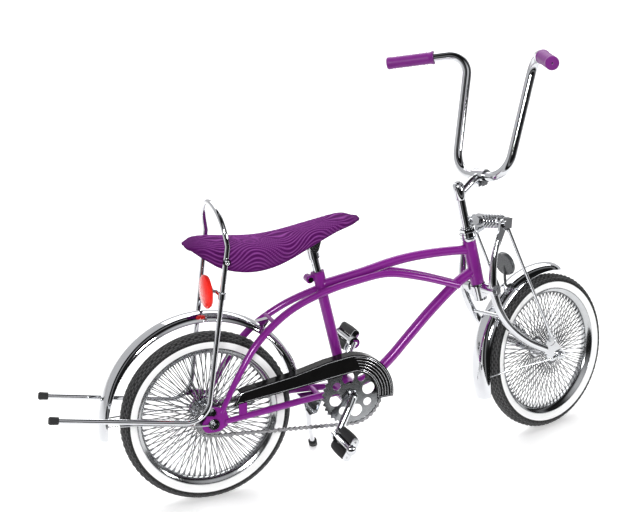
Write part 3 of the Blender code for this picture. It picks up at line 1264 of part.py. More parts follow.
def make_springer(parent):
    """The legs, struts and yoke, which turn about the crown's pivot bolt. Heights are from that pivot."""
    axle_x, axle_z = FRONT_AXLE
    axle_z -= PIVOT_Z
    yoke = (YOKE_X, YOKE_Z - PIVOT_Z)
    strut_foot = (0.1530, 0.0190 - PIVOT_Z)
    plate_in = FRONT_DROPOUT_HALF_GAP
    plate_out = plate_in + FRONT_PLATE_THICKNESS
    strut_in = LEG_Y + 0.0030 + GAP
    for side, label in ((-1, "right"), (1, "left")):
        path = spline_path([(x, side * LEG_Y, z - PIVOT_Z) for x, z in leg_knots()], 2)
        radii = [0.0065 + 0.0035 * min(max((0.11 - p.z) / 0.09, 0), 1) for p in path]
        leg = rod(path, radii, 8)
        boss = cylinder((0, side * (LEG_Y - LEG_BOSS_HALF), 0), (0, side * (LEG_Y + LEG_BOSS_HALF), 0),
                        0.0130, 10)
        top_plate = plate([(0.0320, 0.1010), (0.0430, 0.0950), *arc(yoke, 0.0115, -35, 145, 5)],
                          *sorted((side * (LEG_Y - 0.0030), side * (LEG_Y + 0.0030))))
        outline = [(0.1160, 0.0000 - PIVOT_Z), (0.1350, 0.0150 - PIVOT_Z),
                   *arc(strut_foot, 0.0085, 120, 10, 4),
                   *arc((axle_x, axle_z), 0.0125, 30, -120, 6), (0.1270, -0.0120 - PIVOT_Z)]
        axle_plate = plate(outline, *sorted((side * plate_in, side * plate_out)))
        cuts = [
            cylinder((0, side * 0.02, 0), (0, side * 0.09, 0), 0.0045 + 2 * GAP, 8),
            cylinder((yoke[0], side * 0.02, yoke[1]), (yoke[0], side * 0.09, yoke[1]), 0.0045 + 2 * GAP, 8),
            cylinder((axle_x, side * 0.02, axle_z), (axle_x, side * 0.09, axle_z), AXLE_RADIUS + 3 * GAP, 8),
            cylinder((strut_foot[0], side * (plate_out - 0.001), strut_foot[1]),
                     (strut_foot[0], side * 0.09, strut_foot[1]), 0.0180, 16),
        ]
        place(combined(leg, [boss, top_plate, axle_plate], cuts), "fork_leg_" + label, "chrome", parent)

        # The strut's flattened ends sit outside the leg's top plate and the axle plate
        top_y = side * (strut_in + 0.0015)
        foot_y = side * (plate_out + GAP + 0.0018)
        strut = rod([(yoke[0] + 0.0055, top_y + side * 0.0032, yoke[1] - 0.016),
                     (0.1010, side * (LEG_Y + 0.0090), 0.0100),
                     (strut_foot[0] - 0.0015, foot_y + side * 0.0022, strut_foot[1] + 0.008)], 0.0040, 8)
        eyes = [
            plate([(yoke[0] - 0.0075, yoke[1] - 0.004), (yoke[0] + 0.0055, yoke[1] - 0.0260),
                   (yoke[0] + 0.0115, yoke[1] - 0.0230), *arc(yoke, 0.0095, -20, 160, 6)],
                  *sorted((side * strut_in, side * (strut_in + 0.0030)))),
            plate([(strut_foot[0] - 0.0100, strut_foot[1] + 0.0200), *arc(strut_foot, 0.0080, 180, 360, 6),
                   (strut_foot[0] + 0.0010, strut_foot[1] + 0.0210)],
                  *sorted((side * (plate_out + GAP), side * (plate_out + GAP + 0.0036)))),
        ]
        holes = [cylinder((yoke[0], side * 0.02, yoke[1]), (yoke[0], side * 0.09, yoke[1]),
                          0.0045 + 2 * GAP, 8)]
        place(combined(strut, eyes, holes), "fork_strut_" + label, "chrome", parent)

    make_yoke(parent, yoke)


def make_yoke(parent, yoke):
    """A strap bent round the spring's front end, with a cross bolt at each ear, and the long spring bolt."""
    axis = (spring_line(1) - spring_line(0)).normalized()
    lift = Vector((0, 0, -PIVOT_Z))
    front = spring_line((spring_line(0) - Vector((SPRING_END[0], 0,
                                                  SPRING_END[1]))).length + SPRING_WIRE + 4 * GAP) + lift
    across = Vector((0, 1, 0))
    up = across.cross(axis)
    ear_back = (Vector((YOKE_X - 0.011, 0, YOKE_Z)) + lift - front).dot(axis)
    half = YOKE_HALF_WIDTH
    thick = 0.0040
    outer = [(ear_back, -half), (-0.008, -half), (0.0045, -half * 0.55), (thick, 0), (0.0045, half * 0.55),
             (-0.008, half), (ear_back, half)]
    inner = [(ear_back, half - 0.0045), (-0.013, half - 0.0045), (-0.0010, half * 0.50), (0.0, 0),
             (-0.0010, -half * 0.50), (-0.013, -half + 0.0045), (ear_back, -half + 0.0045)]
    tall = 0.0125
    rings = []
    for height in (-tall, tall):
        rings.append([front + axis * a + across * y + up * height for a, y in outer + inner])
    strap = solid("strap", loft(rings))
    bolts = []
    for s in (-1, 1):
        face = LEG_Y + 0.0030 + GAP + 0.0030 + GAP
        bolts.append(cylinder((yoke[0], s * (half - 0.003), yoke[1]),
                              (yoke[0], s * (face + 0.004), yoke[1]), 0.0045, 8))
        bolts.append(cylinder((yoke[0], s * (half - 0.004), yoke[1]),
                              (yoke[0], s * (LEG_Y - 0.0030 - GAP), yoke[1]), 0.0090, 10))
        bolts.append(cylinder((yoke[0], s * face, yoke[1]), (yoke[0], s * (face + 0.0050), yoke[1]), 0.0080,
                              10))
    hole = cylinder(front - axis * 0.02, front + axis * 0.02, 0.0045 + 2 * GAP, 8)
    place(combined(strap, bolts, [hole]), "fork_yoke", "chrome", parent)

    shank = cylinder(spring_line(-0.0110) + lift, front + axis * 0.014, 0.0045, 8)
    nut = dome_nut(front + axis * (thick + GAP), front + axis * (thick + 0.0185), 0.0150)
    head = hexagon(spring_line(-0.0140) + lift, spring_line(-0.0090) + lift, 0.0180)
    place(combined(shank, [nut, head]), "spring_bolt", "chrome", parent)


def make_front_fender(parent):
    """The fender hangs from the legs by its bridge, and a wire stay holds its tail."""
    axle_x, axle_z = FRONT_AXLE
    axle_z -= PIVOT_Z
    centre = FRONT_FENDER_CENTRE
    shell = fender(FRONT_FENDER_RADIUS, centre, 64, 186, 1.0, 0.006, 12, 1.0)
    reach = LEG_Y - 0.0100 - 0.0005
    across = math.radians(132)
    at = (centre[0] + (FRONT_FENDER_RADIUS + 0.002) * math.cos(across),
          centre[1] + (FRONT_FENDER_RADIUS + 0.002) * math.sin(across))
    bridge = cylinder((at[0], -reach, at[1]), (at[0], reach, at[1]), 0.0050, 8)
    place(combined(shell, [bridge]), "front_fender", "chrome", parent)

    y = FRONT_DROPOUT_HALF_GAP + FRONT_PLATE_THICKNESS + GAP
    eye_y = y + 0.0022
    inside = FRONT_FENDER_RADIUS - 0.0125
    tail = math.radians(172)
    cross = (centre[0] + inside * math.cos(tail), centre[1] + inside * math.sin(tail))
    near = (axle_x - 0.150, axle_z + 0.0220)
    wire = bent_path([(axle_x - 0.0110, -eye_y, axle_z), (axle_x - 0.032, -eye_y, axle_z + 0.002),
                      (near[0], -0.0350, near[1]), (cross[0], -0.0255, cross[1]),
                      (cross[0], 0.0255, cross[1]),
                      (near[0], 0.0350, near[1]), (axle_x - 0.032, eye_y, axle_z + 0.002),
                      (axle_x - 0.0110, eye_y, axle_z)],
                     [0.01, 0.05, 0.008, 0.008, 0.05, 0.01], 1)
    stay = rod(wire, 0.0019, 4)
    eyes = [plate(circle((axle_x, axle_z), 0.0125, 10), *sorted((s * y, s * (y + 0.0018)))) for s in (-1, 1)]
    holes = [cylinder((axle_x, s * (y - 0.005), axle_z), (axle_x, s * (y + 0.007), axle_z),
                      AXLE_RADIUS + 3 * GAP, 8)
             for s in (-1, 1)]
    place(combined(stay, eyes, holes), "front_fender_stay", "chrome", parent)

    seat = y + 0.0018 + GAP
    axle = cylinder((axle_x, -seat - 0.012, axle_z), (axle_x, seat + 0.012, axle_z), AXLE_RADIUS, 12)
    nuts = [hexagon((axle_x, s * seat, axle_z), (axle_x, s * (seat + 0.0075), axle_z), 0.0150) for s in (-1,
                                                                                                         1)]
    place(combined(axle, nuts), "front_axle", "chrome", parent)


def make_stem(parent):
    quill = cylinder((0, 0, 0.290), (0, 0, 0.4450), QUILL_RADIUS, 12)
    sleeve = turned([(0.0118, 0), (0.0132, 0.002), (0.0132, 0.036), (0.0112, 0.0385)], 12,
                    along((0, 0, 0.4410), (0, 0, 0.5)))
    clamp_x, clamp_z = BAR_CLAMP
    arm = rod(spline_path([(0.002, 0, 0.4560), (0.022, 0, 0.4620), (0.046, 0, 0.4710),
                           (clamp_x - 0.008, 0, clamp_z)], 2),
              0.0105, 10)
    hold = cylinder((clamp_x, -0.0200, clamp_z), (clamp_x, 0.0200, clamp_z), BAR_RADIUS + 0.0050, 12)
    lug = plate([(clamp_x - 0.0120, clamp_z - 0.0100), (clamp_x + 0.0090, clamp_z - 0.0120),
                 (clamp_x + 0.0080, clamp_z - 0.0240),
                 (clamp_x - 0.0100, clamp_z - 0.0240)], -0.0110, 0.0110)
    bar_hole = cylinder((clamp_x, -0.04, clamp_z), (clamp_x, 0.04, clamp_z), BAR_RADIUS + 3 * GAP, 12)
    bolt_z = clamp_z - 0.0190
    shank = cylinder((clamp_x - 0.0160, 0, bolt_z), (clamp_x + 0.0130, 0, bolt_z), 0.0033, 10)
    head = hexagon((clamp_x + 0.0085, 0, bolt_z), (clamp_x + 0.0145, 0, bolt_z), 0.0120)
    nut = hexagon((clamp_x - 0.0170, 0, bolt_z), (clamp_x - 0.0105, 0, bolt_z), 0.0120)
    top_bolt = hexagon((0, 0, 0.4780), (0, 0, STEM_BOLT_TOP), 0.0130)
    stem = combined(combined(quill, [sleeve, arm, hold, lug], [bar_hole]), [shank, head, nut, top_bolt])
    place(stem, "stem", "chrome", parent)


def make_handlebar(parent):
    """The high-rise bar, with straight grip ends swept back."""
    lower, upper, end = BAR_LOWER_CORNER, BAR_UPPER_CORNER, BAR_END
    line = (Vector(end) - Vector(upper)).normalized()
    bar_end = Vector(end) - line * 0.0030
    left = [lower, upper, tuple(bar_end)]
    corners = mirrored(left)[::-1] + left
    path = bent_path(corners, [0.046, 0.060, 0.060, 0.046], 4)
    place(rod(path, BAR_RADIUS, 10), "handlebar", "chrome", parent)

    for side, label in ((-1, "right"), (1, "left")):
        tip = Vector((end[0], side * end[1], end[2]))
        corner = Vector((upper[0], side * upper[1], upper[2]))
        length = GRIP_LENGTH
        bore = BAR_RADIUS + 3 * GAP
        profile = [(0.0020, 0.0), (GRIP_RADIUS - 0.0020, 0.0), (GRIP_RADIUS, 0.0020)]
        bands = 2
        for k in range(bands):
            at = 0.010 + (length - 0.020) * (k + 0.5) / bands
            profile += [(GRIP_RADIUS, at - 0.0022), (GRIP_RADIUS - 0.0010, at)]
        profile += [(GRIP_RADIUS, length - 0.0060), (GRIP_RADIUS + 0.0014, length - 0.0030),
                    (GRIP_RADIUS + 0.0014, length), (bore, length), (bore, 0.0028), (0.0020, 0.0028)]
        grip = turned(profile, 10, along(tip, corner), ring=True)
        place(grip, "grip_" + label, "grip_vinyl", parent)


def centre_on_ground(bike):
    """Moves the whole bicycle so that the middle of its box's floor is at the origin."""
    bpy.context.view_layer.update()
    meshes = [obj for obj in bpy.data.objects if obj.type == "MESH"]
    corners = [obj.matrix_world @ v.co for obj in meshes for v in obj.data.vertices]
    low = Vector([min(c[i] for c in corners) for i in range(3)])
    high = Vector([max(c[i] for c in corners) for i in range(3)])
    bike.location -= Vector(((low.x + high.x) / 2, (low.y + high.y) / 2, low.z))
    bpy.context.view_layer.update()


def build():
    clear_scene()
    bike = empty("bicycle", rotation=(-LEAN, 0, 0))
    rear_wheel = empty("rear_wheel_axis", bike, (0, 0, AXLE_HEIGHT))
    driver = empty("driver_axis", bike, (0, 0, AXLE_HEIGHT))
    crank = empty("crank_axis", bike, tuple(BOTTOM_BRACKET), (0, -CRANK_ANGLE, 0))
    stand = empty("kickstand_axis", bike, tuple(STAND_PIVOT))
    head = empty("head_axis", bike, (WHEELBASE_TO_AXIS, 0, AXLE_HEIGHT), (0, HEAD_ANGLE - math.pi / 2, 0))
    steering = empty("steering_axis", head, rotation=(0, 0, STEER))
    springer = empty("springer_axis", steering, (0, 0, PIVOT_Z))
    front_wheel = empty("front_wheel_axis", springer, (FRONT_AXLE[0], 0, FRONT_AXLE[1] - PIVOT_Z))

    make_frame(bike)
    make_seat_post(bike)
    make_seat(bike)
    make_hoop(bike)
    make_reflectors(bike, springer)
    make_rear_fender(bike)
    make_guard(bike)
    make_headset(bike, steering)
    make_bottom_bracket(bike)
    make_rear_axle(bike)
    make_chain(bike)
    make_kickstand(bike, stand)
    make_wheel("rear", rear_wheel, REAR_FLANGE_RADIUS, REAR_FLANGE_Y, REAR_HUB_RADIUS, 0.0395)
    make_rear_cog(driver)
    make_crank(crank)
    for side, label in ((-1, "right"), (1, "left")):
        tilt = CRANK_ANGLE - PEDAL_TILT
        pedal = empty("pedal_axis_" + label, crank, (-side * CRANK_LENGTH, 0, 0), (0, tilt, 0))
        make_pedal(pedal, side, label)
    make_fork_crown(steering)
    make_stem(steering)
    make_handlebar(steering)
    make_spring(steering)
    make_springer(springer)
    make_front_fender(springer)
    make_wheel("front", front_wheel, FRONT_FLANGE_RADIUS, FRONT_FLANGE_Y, FRONT_HUB_RADIUS, 0.0470)
    centre_on_ground(bike)


build()
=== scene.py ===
"""The looks of the kids bicycle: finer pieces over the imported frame, materials, light and camera."""

import json
import math

import bmesh
import bpy
import numpy as np
from mathutils import Matrix, Vector

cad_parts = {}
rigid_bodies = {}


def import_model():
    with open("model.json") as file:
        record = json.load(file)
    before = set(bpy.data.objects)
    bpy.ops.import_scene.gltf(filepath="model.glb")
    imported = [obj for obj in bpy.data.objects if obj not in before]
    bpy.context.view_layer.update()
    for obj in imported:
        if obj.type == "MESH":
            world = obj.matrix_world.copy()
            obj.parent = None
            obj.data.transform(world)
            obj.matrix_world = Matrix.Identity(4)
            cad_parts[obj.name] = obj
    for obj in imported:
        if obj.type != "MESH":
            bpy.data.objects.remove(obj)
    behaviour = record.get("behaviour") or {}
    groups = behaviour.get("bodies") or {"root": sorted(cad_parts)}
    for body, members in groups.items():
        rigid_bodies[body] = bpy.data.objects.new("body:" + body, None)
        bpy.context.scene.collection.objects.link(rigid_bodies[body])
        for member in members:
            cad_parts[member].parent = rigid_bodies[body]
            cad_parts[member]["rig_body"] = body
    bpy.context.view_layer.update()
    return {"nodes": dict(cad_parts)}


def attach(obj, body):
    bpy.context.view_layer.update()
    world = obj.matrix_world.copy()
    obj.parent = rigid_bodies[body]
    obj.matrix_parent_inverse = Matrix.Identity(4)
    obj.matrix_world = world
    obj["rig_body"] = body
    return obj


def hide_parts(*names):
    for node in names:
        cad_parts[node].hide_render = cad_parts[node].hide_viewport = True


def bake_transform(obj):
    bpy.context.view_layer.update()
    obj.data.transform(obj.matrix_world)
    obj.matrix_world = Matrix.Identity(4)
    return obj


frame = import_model()

# How many times finer the round shapes are than the CAD's
FINE = 3
# Clearance between pieces that touch
GAP = 0.0003
ACROSS = Vector((0, 1, 0))
SIDES = ((-1, "right"), (1, "left"))

# Where the bicycle stands, and the camera from there
BICYCLE_AT = (-0.36745, -0.10889, 0.00054)
CAMERA_FROM_BICYCLE = (-0.60849, -2.32753, 1.42569)
CAMERA_TILT = math.radians(90 - 19.398)
CAMERA_TURN = math.radians(-20.606)
CAMERA_LENS = 66.78

# Studio. The floor's front edge is where the chrome stops seeing it
FLOOR_EDGE = -0.7
FLOOR_REACH = 26.0
FLOOR_GLOW = 0.22
LIGHTS = [
    ("floor_light", "AREA", (2.4, 6.5, 5.0), (2.4, 6.5, 0.0), (8.0, 8.0), 470.0),
    ("top_light", "AREA", (0.0, 0.4, 3.0), (0.0, 0.1, 0.4), (4.0, 2.6), 70.0),
    ("key_light", "SPOT", (-1.9, -3.6, 2.5), (0.0, 0.0, 0.45), (0.55, 44.0), 480.0),
    ("fill_light", "SPOT", (2.6, -2.6, 1.4), (0.1, 0.0, 0.45), (0.45, 50.0), 150.0),
]
# Which way the studio's dark side lies, and the greys met on turning towards it
DARK_SIDE = (0.15, -0.8, 0.58)
WORLD_BANDS = [(0.06, 0.9), (0.17, 0.01), (0.34, 0.01), (0.42, 0.26), (0.5, 0.26), (0.58, 0.01), (0.86, 0.01),
               (0.95, 0.5)]
WORLD_STRENGTH = 0.85

# Wheels
WHEEL_RADIUS = 0.198
TYRE_HALF_WIDTH = 0.022
TYRE_HEIGHT = 0.035
RIM_RADIUS = WHEEL_RADIUS - TYRE_HEIGHT
RIM_HALF_WIDTH = 0.0165
RIM_DEPTH = 0.015
RIM_FLANGE = 0.002
WHEEL_SEGMENTS = 32
FLANGE_EDGE = 0.0026
SPOKES_A_SIDE = 72
SPOKE_RADIUS = 0.00105
SPOKE_TURN = math.radians(7)

# Tyre section on one side, as radius and sideways offset, with the rows that are white or cut into tread
TYRE_HALF = [(0.1558, 0.0132), (0.162, 0.0168), (0.166, 0.019), (0.171, 0.021), (0.176, 0.0218),
             (0.1786, 0.0216), (0.1792, 0.0218), (0.1832, 0.0212), (0.1846, 0.0207), (0.1852, 0.0205),
             (0.1884, 0.0189), (0.1892, 0.0184), (0.192, 0.0157), (0.1926, 0.0149), (0.1946, 0.0119),
             (0.1951, 0.011), (0.1965, 0.0076), (0.1968, 0.0066), (0.1976, 0.003)]
WHITE_FROM, WHITE_TO = 1, 5
TREAD_FROM = 9
TREAD_DEPTH = 0.002
TREAD_PITCH = 5
TYRE_SIDES = 380

# Stance. The frame's own heights count from a floor this far below the rear axle
AXLE_HEIGHT = 0.198
LEAN = math.radians(5.0)
STEER = math.radians(16.5)
HEAD_ANGLE = math.radians(77.9)
WHEELBASE_TO_AXIS = 0.7318
FORK_OFFSET = 0.1739

# Hubs and axles
AXLE_RADIUS = 0.005
REAR_DROPOUT_HALF_GAP = 0.056
REAR_FLANGE_RADIUS = 0.03
REAR_FLANGE_Y = 0.029
REAR_HUB_RADIUS = 0.019
DROPOUT_THICKNESS = 0.004
DROPOUT_MIDDLE = REAR_DROPOUT_HALF_GAP + DROPOUT_THICKNESS / 2
DROPOUT_FACE = REAR_DROPOUT_HALF_GAP + DROPOUT_THICKNESS
FRONT_DROPOUT_HALF_GAP = 0.049
FRONT_FLANGE_RADIUS = 0.026
FRONT_FLANGE_Y = 0.027
FRONT_HUB_RADIUS = 0.014
FRONT_PLATE_THICKNESS = 0.005
FRONT_PLATE_FACE = FRONT_DROPOUT_HALF_GAP + FRONT_PLATE_THICKNESS

# Frame tubes
BB_X = 0.337
BB_Z = 0.2075
BB_RADIUS = 0.029
BB_HALF_WIDTH = 0.034
BB_BORE = 0.0255
SEAT_ANGLE = math.radians(78.2)
SEAT_TUBE_LENGTH = 0.299
SEAT_TUBE_RADIUS = 0.0125
SEAT_POST_RADIUS = 0.0107
SEAT_POST_TOP = 0.352
SADDLE_EYE_RISE = 0.0095
SADDLE_EAR_Y = 0.0238
SADDLE_EAR_RADIUS = 0.011
HEAD_TUBE_RADIUS = 0.0165
HEAD_TUBE_BORE = 0.0142
HEAD_TUBE_BOTTOM = 0.228
HEAD_TUBE_TOP = 0.3385
TOP_TUBE_RADIUS = 0.0111
TWIN_TUBE_RADIUS = 0.0085
DOWN_TUBE_RADIUS = 0.0125
CHAINSTAY_RADIUS = 0.008
STAY_END_RADIUS = 0.006
STAY_TAPER = 0.03
FENDER_BRIDGE = (0.158, 0.4045)

# Drive
CHAIN_PITCH = 0.0127
RING_TEETH = 36
COG_TEETH = 17
CHAIN_LINKS = 80
CHAIN_Y = -0.042
CHAIN_INNER_WIDTH = 0.0038
CHAIN_ROLLER_RADIUS = 0.0038
CHAIN_PLATE_RADIUS = 0.0041
CHAIN_WAIST = 0.0018
TOOTH_HEIGHT = 0.002
ROOT_DEPTH = 0.0042
SPROCKET_THICKNESS = 0.0024
CRANK_LENGTH = 0.0975
CRANK_ANGLE = math.radians(237.1)
CRANK_RADIUS = 0.009
CRANK_ARM_Y = 0.075
PEDAL_LENGTH = 0.084
PEDAL_TILT = math.radians(56.0)
PEDAL_BLOCK_AT = 0.0195
PEDAL_BLOCK_HALF = (0.0105, 0.012)
GUARD_EDGE = 0.003
GUARD_LINE_RADIUS = 0.0009
GUARD_LINE_SINK = 0.0004
GUARD_STRIPES = 5

# Steering assembly, in the fork's frame
STEERER_RADIUS = 0.0127
STEERER_BORE = 0.0114
STEERER_TOP = 0.372
QUILL_RADIUS = 0.011
STEM_BOLT_TOP = 0.484
BAR_RADIUS = 0.0111
BAR_CLAMP = (0.0745, 0.474)
BAR_LOWER_CORNER = (0.0745, 0.086, 0.474)
BAR_UPPER_CORNER = (0.214, 0.11, 0.732)
BAR_END = (0.089, 0.2735, 0.7424)
GRIP_LENGTH = 0.118
GRIP_WALL = 0.0041
GRIP_RADIUS = BAR_RADIUS + GRIP_WALL
GRIP_BANDS = 12

# Springer fork, in the fork's frame
PIVOT_Z = 0.2165
BOLT_RADIUS = 0.0045
LEG_Y = 0.052
LEG_BOSS_HALF = 0.01
LEG_PLATE_HALF = 0.003
LEG_KNOTS = [(0.043, 0.326), (0.023, 0.294), (0.007, 0.252), (0.0, PIVOT_Z), (0.006, 0.16),
             (0.029, 0.104), (0.074, 0.048), (0.128, 0.002)]
STRUT_EYE = 0.003
YOKE_X = 0.07
YOKE_Z = 0.359
YOKE_HALF_WIDTH = 0.041
BRACKET_BASE = HEAD_TUBE_TOP + 0.0105 + 2 * GAP
BRACKET_HEIGHT = 0.007
SPRING_START = Vector((0.048, 0, 0.369))
SPRING_END = Vector((0.112, 0, 0.343))
SPRING_RADIUS = 0.0155
SPRING_WIRE = 0.0025
SPRING_TURNS = 7

# Fenders
FENDER_HALF_WIDTH = 0.029
FENDER_CROWN = 0.0175
FENDER_SHEET = 0.0012
REAR_FENDER_RISE = 0.038
FRONT_FENDER_RISE = 0.031
REAR_FENDER_RADIUS = WHEEL_RADIUS + REAR_FENDER_RISE
FRONT_FENDER_RADIUS = WHEEL_RADIUS + FRONT_FENDER_RISE
STAY_EYE = 0.0018

# Seat outline along its length: half width, crown height and the lower edge of the skirt
SEAT_REAR = -0.022
SEAT_FRONT = 0.37
SEAT_WIDTHS = ((SEAT_REAR, 0.036), (0.0, 0.066), (0.035, 0.0785), (0.09, 0.083), (0.16, 0.078), (0.24, 0.062),
               (0.31, 0.051), (0.35, 0.041), (SEAT_FRONT, 0.024))
SEAT_CROWN = ((SEAT_REAR, 0.599), (0.0, 0.604), (0.035, 0.604), (0.09, 0.598), (0.14, 0.594), (0.19, 0.597),
              (0.26, 0.609), (0.31, 0.618), (0.35, 0.624), (SEAT_FRONT, 0.619))
SEAT_SKIRT = ((SEAT_REAR, 0.59), (0.0, 0.574), (0.035, 0.552), (0.09, 0.538), (0.14, 0.539), (0.19, 0.551),
              (0.26, 0.578), (0.31, 0.597), (0.35, 0.607), (SEAT_FRONT, 0.611))
SEAT_STATIONS = 130
SEAT_POINTS = 131
PAN_LIFT = 0.006

# Sewn ribs of the seat
RIB_PITCH = 0.01
RIB_RISE = 0.0022
# How narrow the painted highlight along each rib's crest is
CREST_HIGHLIGHT_SHARPNESS = 7
WAVE_HEIGHT = 0.0225
WAVE_LENGTH = 0.147
WAVE_CREST_X = 0.112
END_ROUNDING = 0.0085

# Backrest hoop with its wheelie rods
HOOP_EYELET = (-0.004, 0.231)
HOOP_RADIUS = 0.006
HOOP_ROD_Y = 0.078
HOOP_BOLT_Z = 0.572
HOOP_SPACER_Y = 0.0798
HOOP_LOOP_Y = 0.088
HOOP_TOP_Z = 0.684
HOOP_CORNER = (-0.0185, 0.2098)
HOOP_SHOULDER = (0.0445, 0.605)

# Kickstand in the bicycle's frame: its pivot, and where its foot meets the ground
STAND_PIVOT = Vector((0.2465, 0.014, 0.1735))
STAND_FOOT = Vector((0.303, 0.145, AXLE_HEIGHT - WHEEL_RADIUS + 0.015))
STAND_AXIS = Vector((0, 0.924, 0.383)).normalized()

FINISHES = {}
AXES = []
MADE = []


def mapped(tree, source, low, high, target):
    """Spreads a 0 to 1 value over a range and joins it to a socket."""
    spread = tree.nodes.new("ShaderNodeMapRange")
    spread.inputs["To Min"].default_value = low
    spread.inputs["To Max"].default_value = high
    tree.links.new(source, spread.inputs["Value"])
    tree.links.new(spread.outputs["Result"], target)


def mixed(tree, share, colour):
    """A colour mix that turns to the given colour as the share grows; its first colour is left open."""
    mix = tree.nodes.new("ShaderNodeMix")
    mix.data_type = "RGBA"
    mix.inputs["B"].default_value = (*colour, 1.0)
    tree.links.new(share, mix.inputs["Factor"])
    return mix


def noise(tree, place_of, scale, detail=3.0):
    """A noise value in the object's own coordinates."""
    made = tree.nodes.new("ShaderNodeTexNoise")
    made.inputs["Scale"].default_value = scale
    made.inputs["Detail"].default_value = detail
    tree.links.new(place_of.outputs["Object"], made.inputs["Vector"])
    return made.outputs["Fac"]


def surface(name, dark, light, rough, metallic=0.0, spots=40.0, grain=900.0, bump=0.0, depth=0.0002, **more):
    """A finish whose colour, roughness and relief vary with noise in the object's own coordinates. An
    optional lighter colour is mixed in by a mesh attribute, a painted highlight where the attribute is high.
    """
    made = bpy.data.materials.new(name)
    made.use_nodes = True
    tree = made.node_tree
    shader = tree.nodes["Principled BSDF"]
    place_of = tree.nodes.new("ShaderNodeTexCoord")
    fleck = noise(tree, place_of, spots, 4.0)
    colour = mixed(tree, fleck, light)
    colour.inputs["A"].default_value = (*dark, 1.0)
    # Painted highlight: a lighter colour mixed in by a mesh attribute that marks the lit rib crests and tread
    # block tops
    if "crest" in more:
        painted_highlight_node = tree.nodes.new("ShaderNodeAttribute")
        painted_highlight_node.attribute_name = "painted_highlight_share"
        over = mixed(tree, painted_highlight_node.outputs["Fac"], more["crest"])
        tree.links.new(colour.outputs["Result"], over.inputs["A"])
        colour = over
    tree.links.new(colour.outputs["Result"], shader.inputs["Base Color"])
    mapped(tree, noise(tree, place_of, spots * 2.3), *rough, shader.inputs["Roughness"])
    shader.inputs["Metallic"].default_value = metallic
    if bump:
        relief = tree.nodes.new("ShaderNodeBump")
        relief.inputs["Strength"].default_value = bump
        relief.inputs["Distance"].default_value = depth
        tree.links.new(noise(tree, place_of, grain, 2.0), relief.inputs["Height"])
        tree.links.new(relief.outputs["Normal"], shader.inputs["Normal"])
    shader.inputs["Specular IOR Level"].default_value = more.get("gloss", 0.5)
    shader.inputs["Coat Weight"].default_value = more.get("coat", 0.0)
    shader.inputs["Coat Roughness"].default_value = 0.04
    shader.inputs["Sheen Weight"].default_value = more.get("sheen", 0.0)
    shader.inputs["Sheen Roughness"].default_value = 0.35
    if "sheen_tint" in more:
        shader.inputs["Sheen Tint"].default_value = (*more["sheen_tint"], 1.0)
    FINISHES[name] = made
    return made


surface("purple_paint", (0.175, 0.01, 0.2), (0.205, 0.014, 0.23), (0.18, 0.26), 0.1, spots=25.0, grain=420.0,
        bump=0.05, coat=0.35, gloss=0.3)
# The velour's lighter colour is a painted highlight along the seat's rib crests
surface("velour", (0.05, 0.002, 0.06), (0.078, 0.004, 0.09), (0.85, 0.98), spots=90.0, grain=2400.0, bump=0.5,
        depth=0.0004, sheen=0.06, sheen_tint=(0.75, 0.25, 0.85), gloss=0.1, crest=(0.215, 0.045, 0.24))
surface("grip_vinyl", (0.125, 0.006, 0.145), (0.18, 0.013, 0.205), (0.34, 0.48), spots=60.0, grain=1300.0,
        bump=0.25, gloss=0.35)
surface("chrome", (0.6, 0.61, 0.63), (0.7, 0.71, 0.73), (0.04, 0.1), 1.0, spots=30.0, grain=300.0, bump=0.03)
surface("plate_chrome", (0.24, 0.25, 0.26), (0.42, 0.43, 0.44), (0.16, 0.26), 1.0, spots=60.0, grain=300.0,
        bump=0.03)
surface("rim_chrome", (0.42, 0.43, 0.44), (0.54, 0.55, 0.56), (0.1, 0.18), 1.0, spots=50.0, grain=300.0,
        bump=0.03)
surface("spoke_steel", (0.2, 0.2, 0.21), (0.34, 0.35, 0.36), (0.12, 0.2), 1.0, spots=300.0, bump=0.05)
surface("black_enamel", (0.003, 0.003, 0.003), (0.006, 0.006, 0.006), (0.14, 0.24), spots=30.0, grain=380.0,
        bump=0.04, gloss=0.12)
surface("rubber", (0.01, 0.01, 0.011), (0.024, 0.024, 0.025), (0.55, 0.75), spots=120.0, grain=1800.0,
        bump=0.35, gloss=0.3)
# The tread's lighter colour is a painted highlight on the block tops, leaving painted shade in the grooves
surface("tread_rubber", (0.002, 0.002, 0.002), (0.004, 0.004, 0.004), (0.42, 0.62), spots=140.0, grain=1500.0,
        bump=0.35, gloss=0.25, crest=(0.085, 0.085, 0.087))
surface("white_rubber", (0.78, 0.78, 0.78), (0.86, 0.86, 0.86), (0.45, 0.62), spots=35.0, grain=1200.0,
        bump=0.15)
surface("red_lens", (0.8, 0.012, 0.008), (0.98, 0.03, 0.018), (0.1, 0.22), spots=260.0, grain=520.0, bump=0.8,
        depth=0.0008, coat=0.15, gloss=0.2)
surface("clear_lens", (0.02, 0.021, 0.023), (0.12, 0.125, 0.13), (0.1, 0.22), 0.4, spots=420.0, grain=520.0,
        bump=0.8, depth=0.0008, coat=0.3)
surface("steel", (0.2, 0.2, 0.21), (0.46, 0.46, 0.47), (0.18, 0.32), 1.0, spots=180.0, grain=800.0, bump=0.15)


def linked(name, data):
    """A new object in the scene with the mesh, lamp or lens given."""
    made = bpy.data.objects.new(name, data)
    bpy.context.scene.collection.objects.link(made)
    return made


def empty(name, parent=None, location=(0, 0, 0), rotation=(0, 0, 0)):
    """A moving axis: pieces are shaped about it and take its place at the end."""
    made = bpy.data.objects.new(name, None)
    made.parent = parent
    made.location = location
    made.rotation_euler = rotation
    bpy.context.scene.collection.objects.link(made)
    AXES.append(made)
    return made


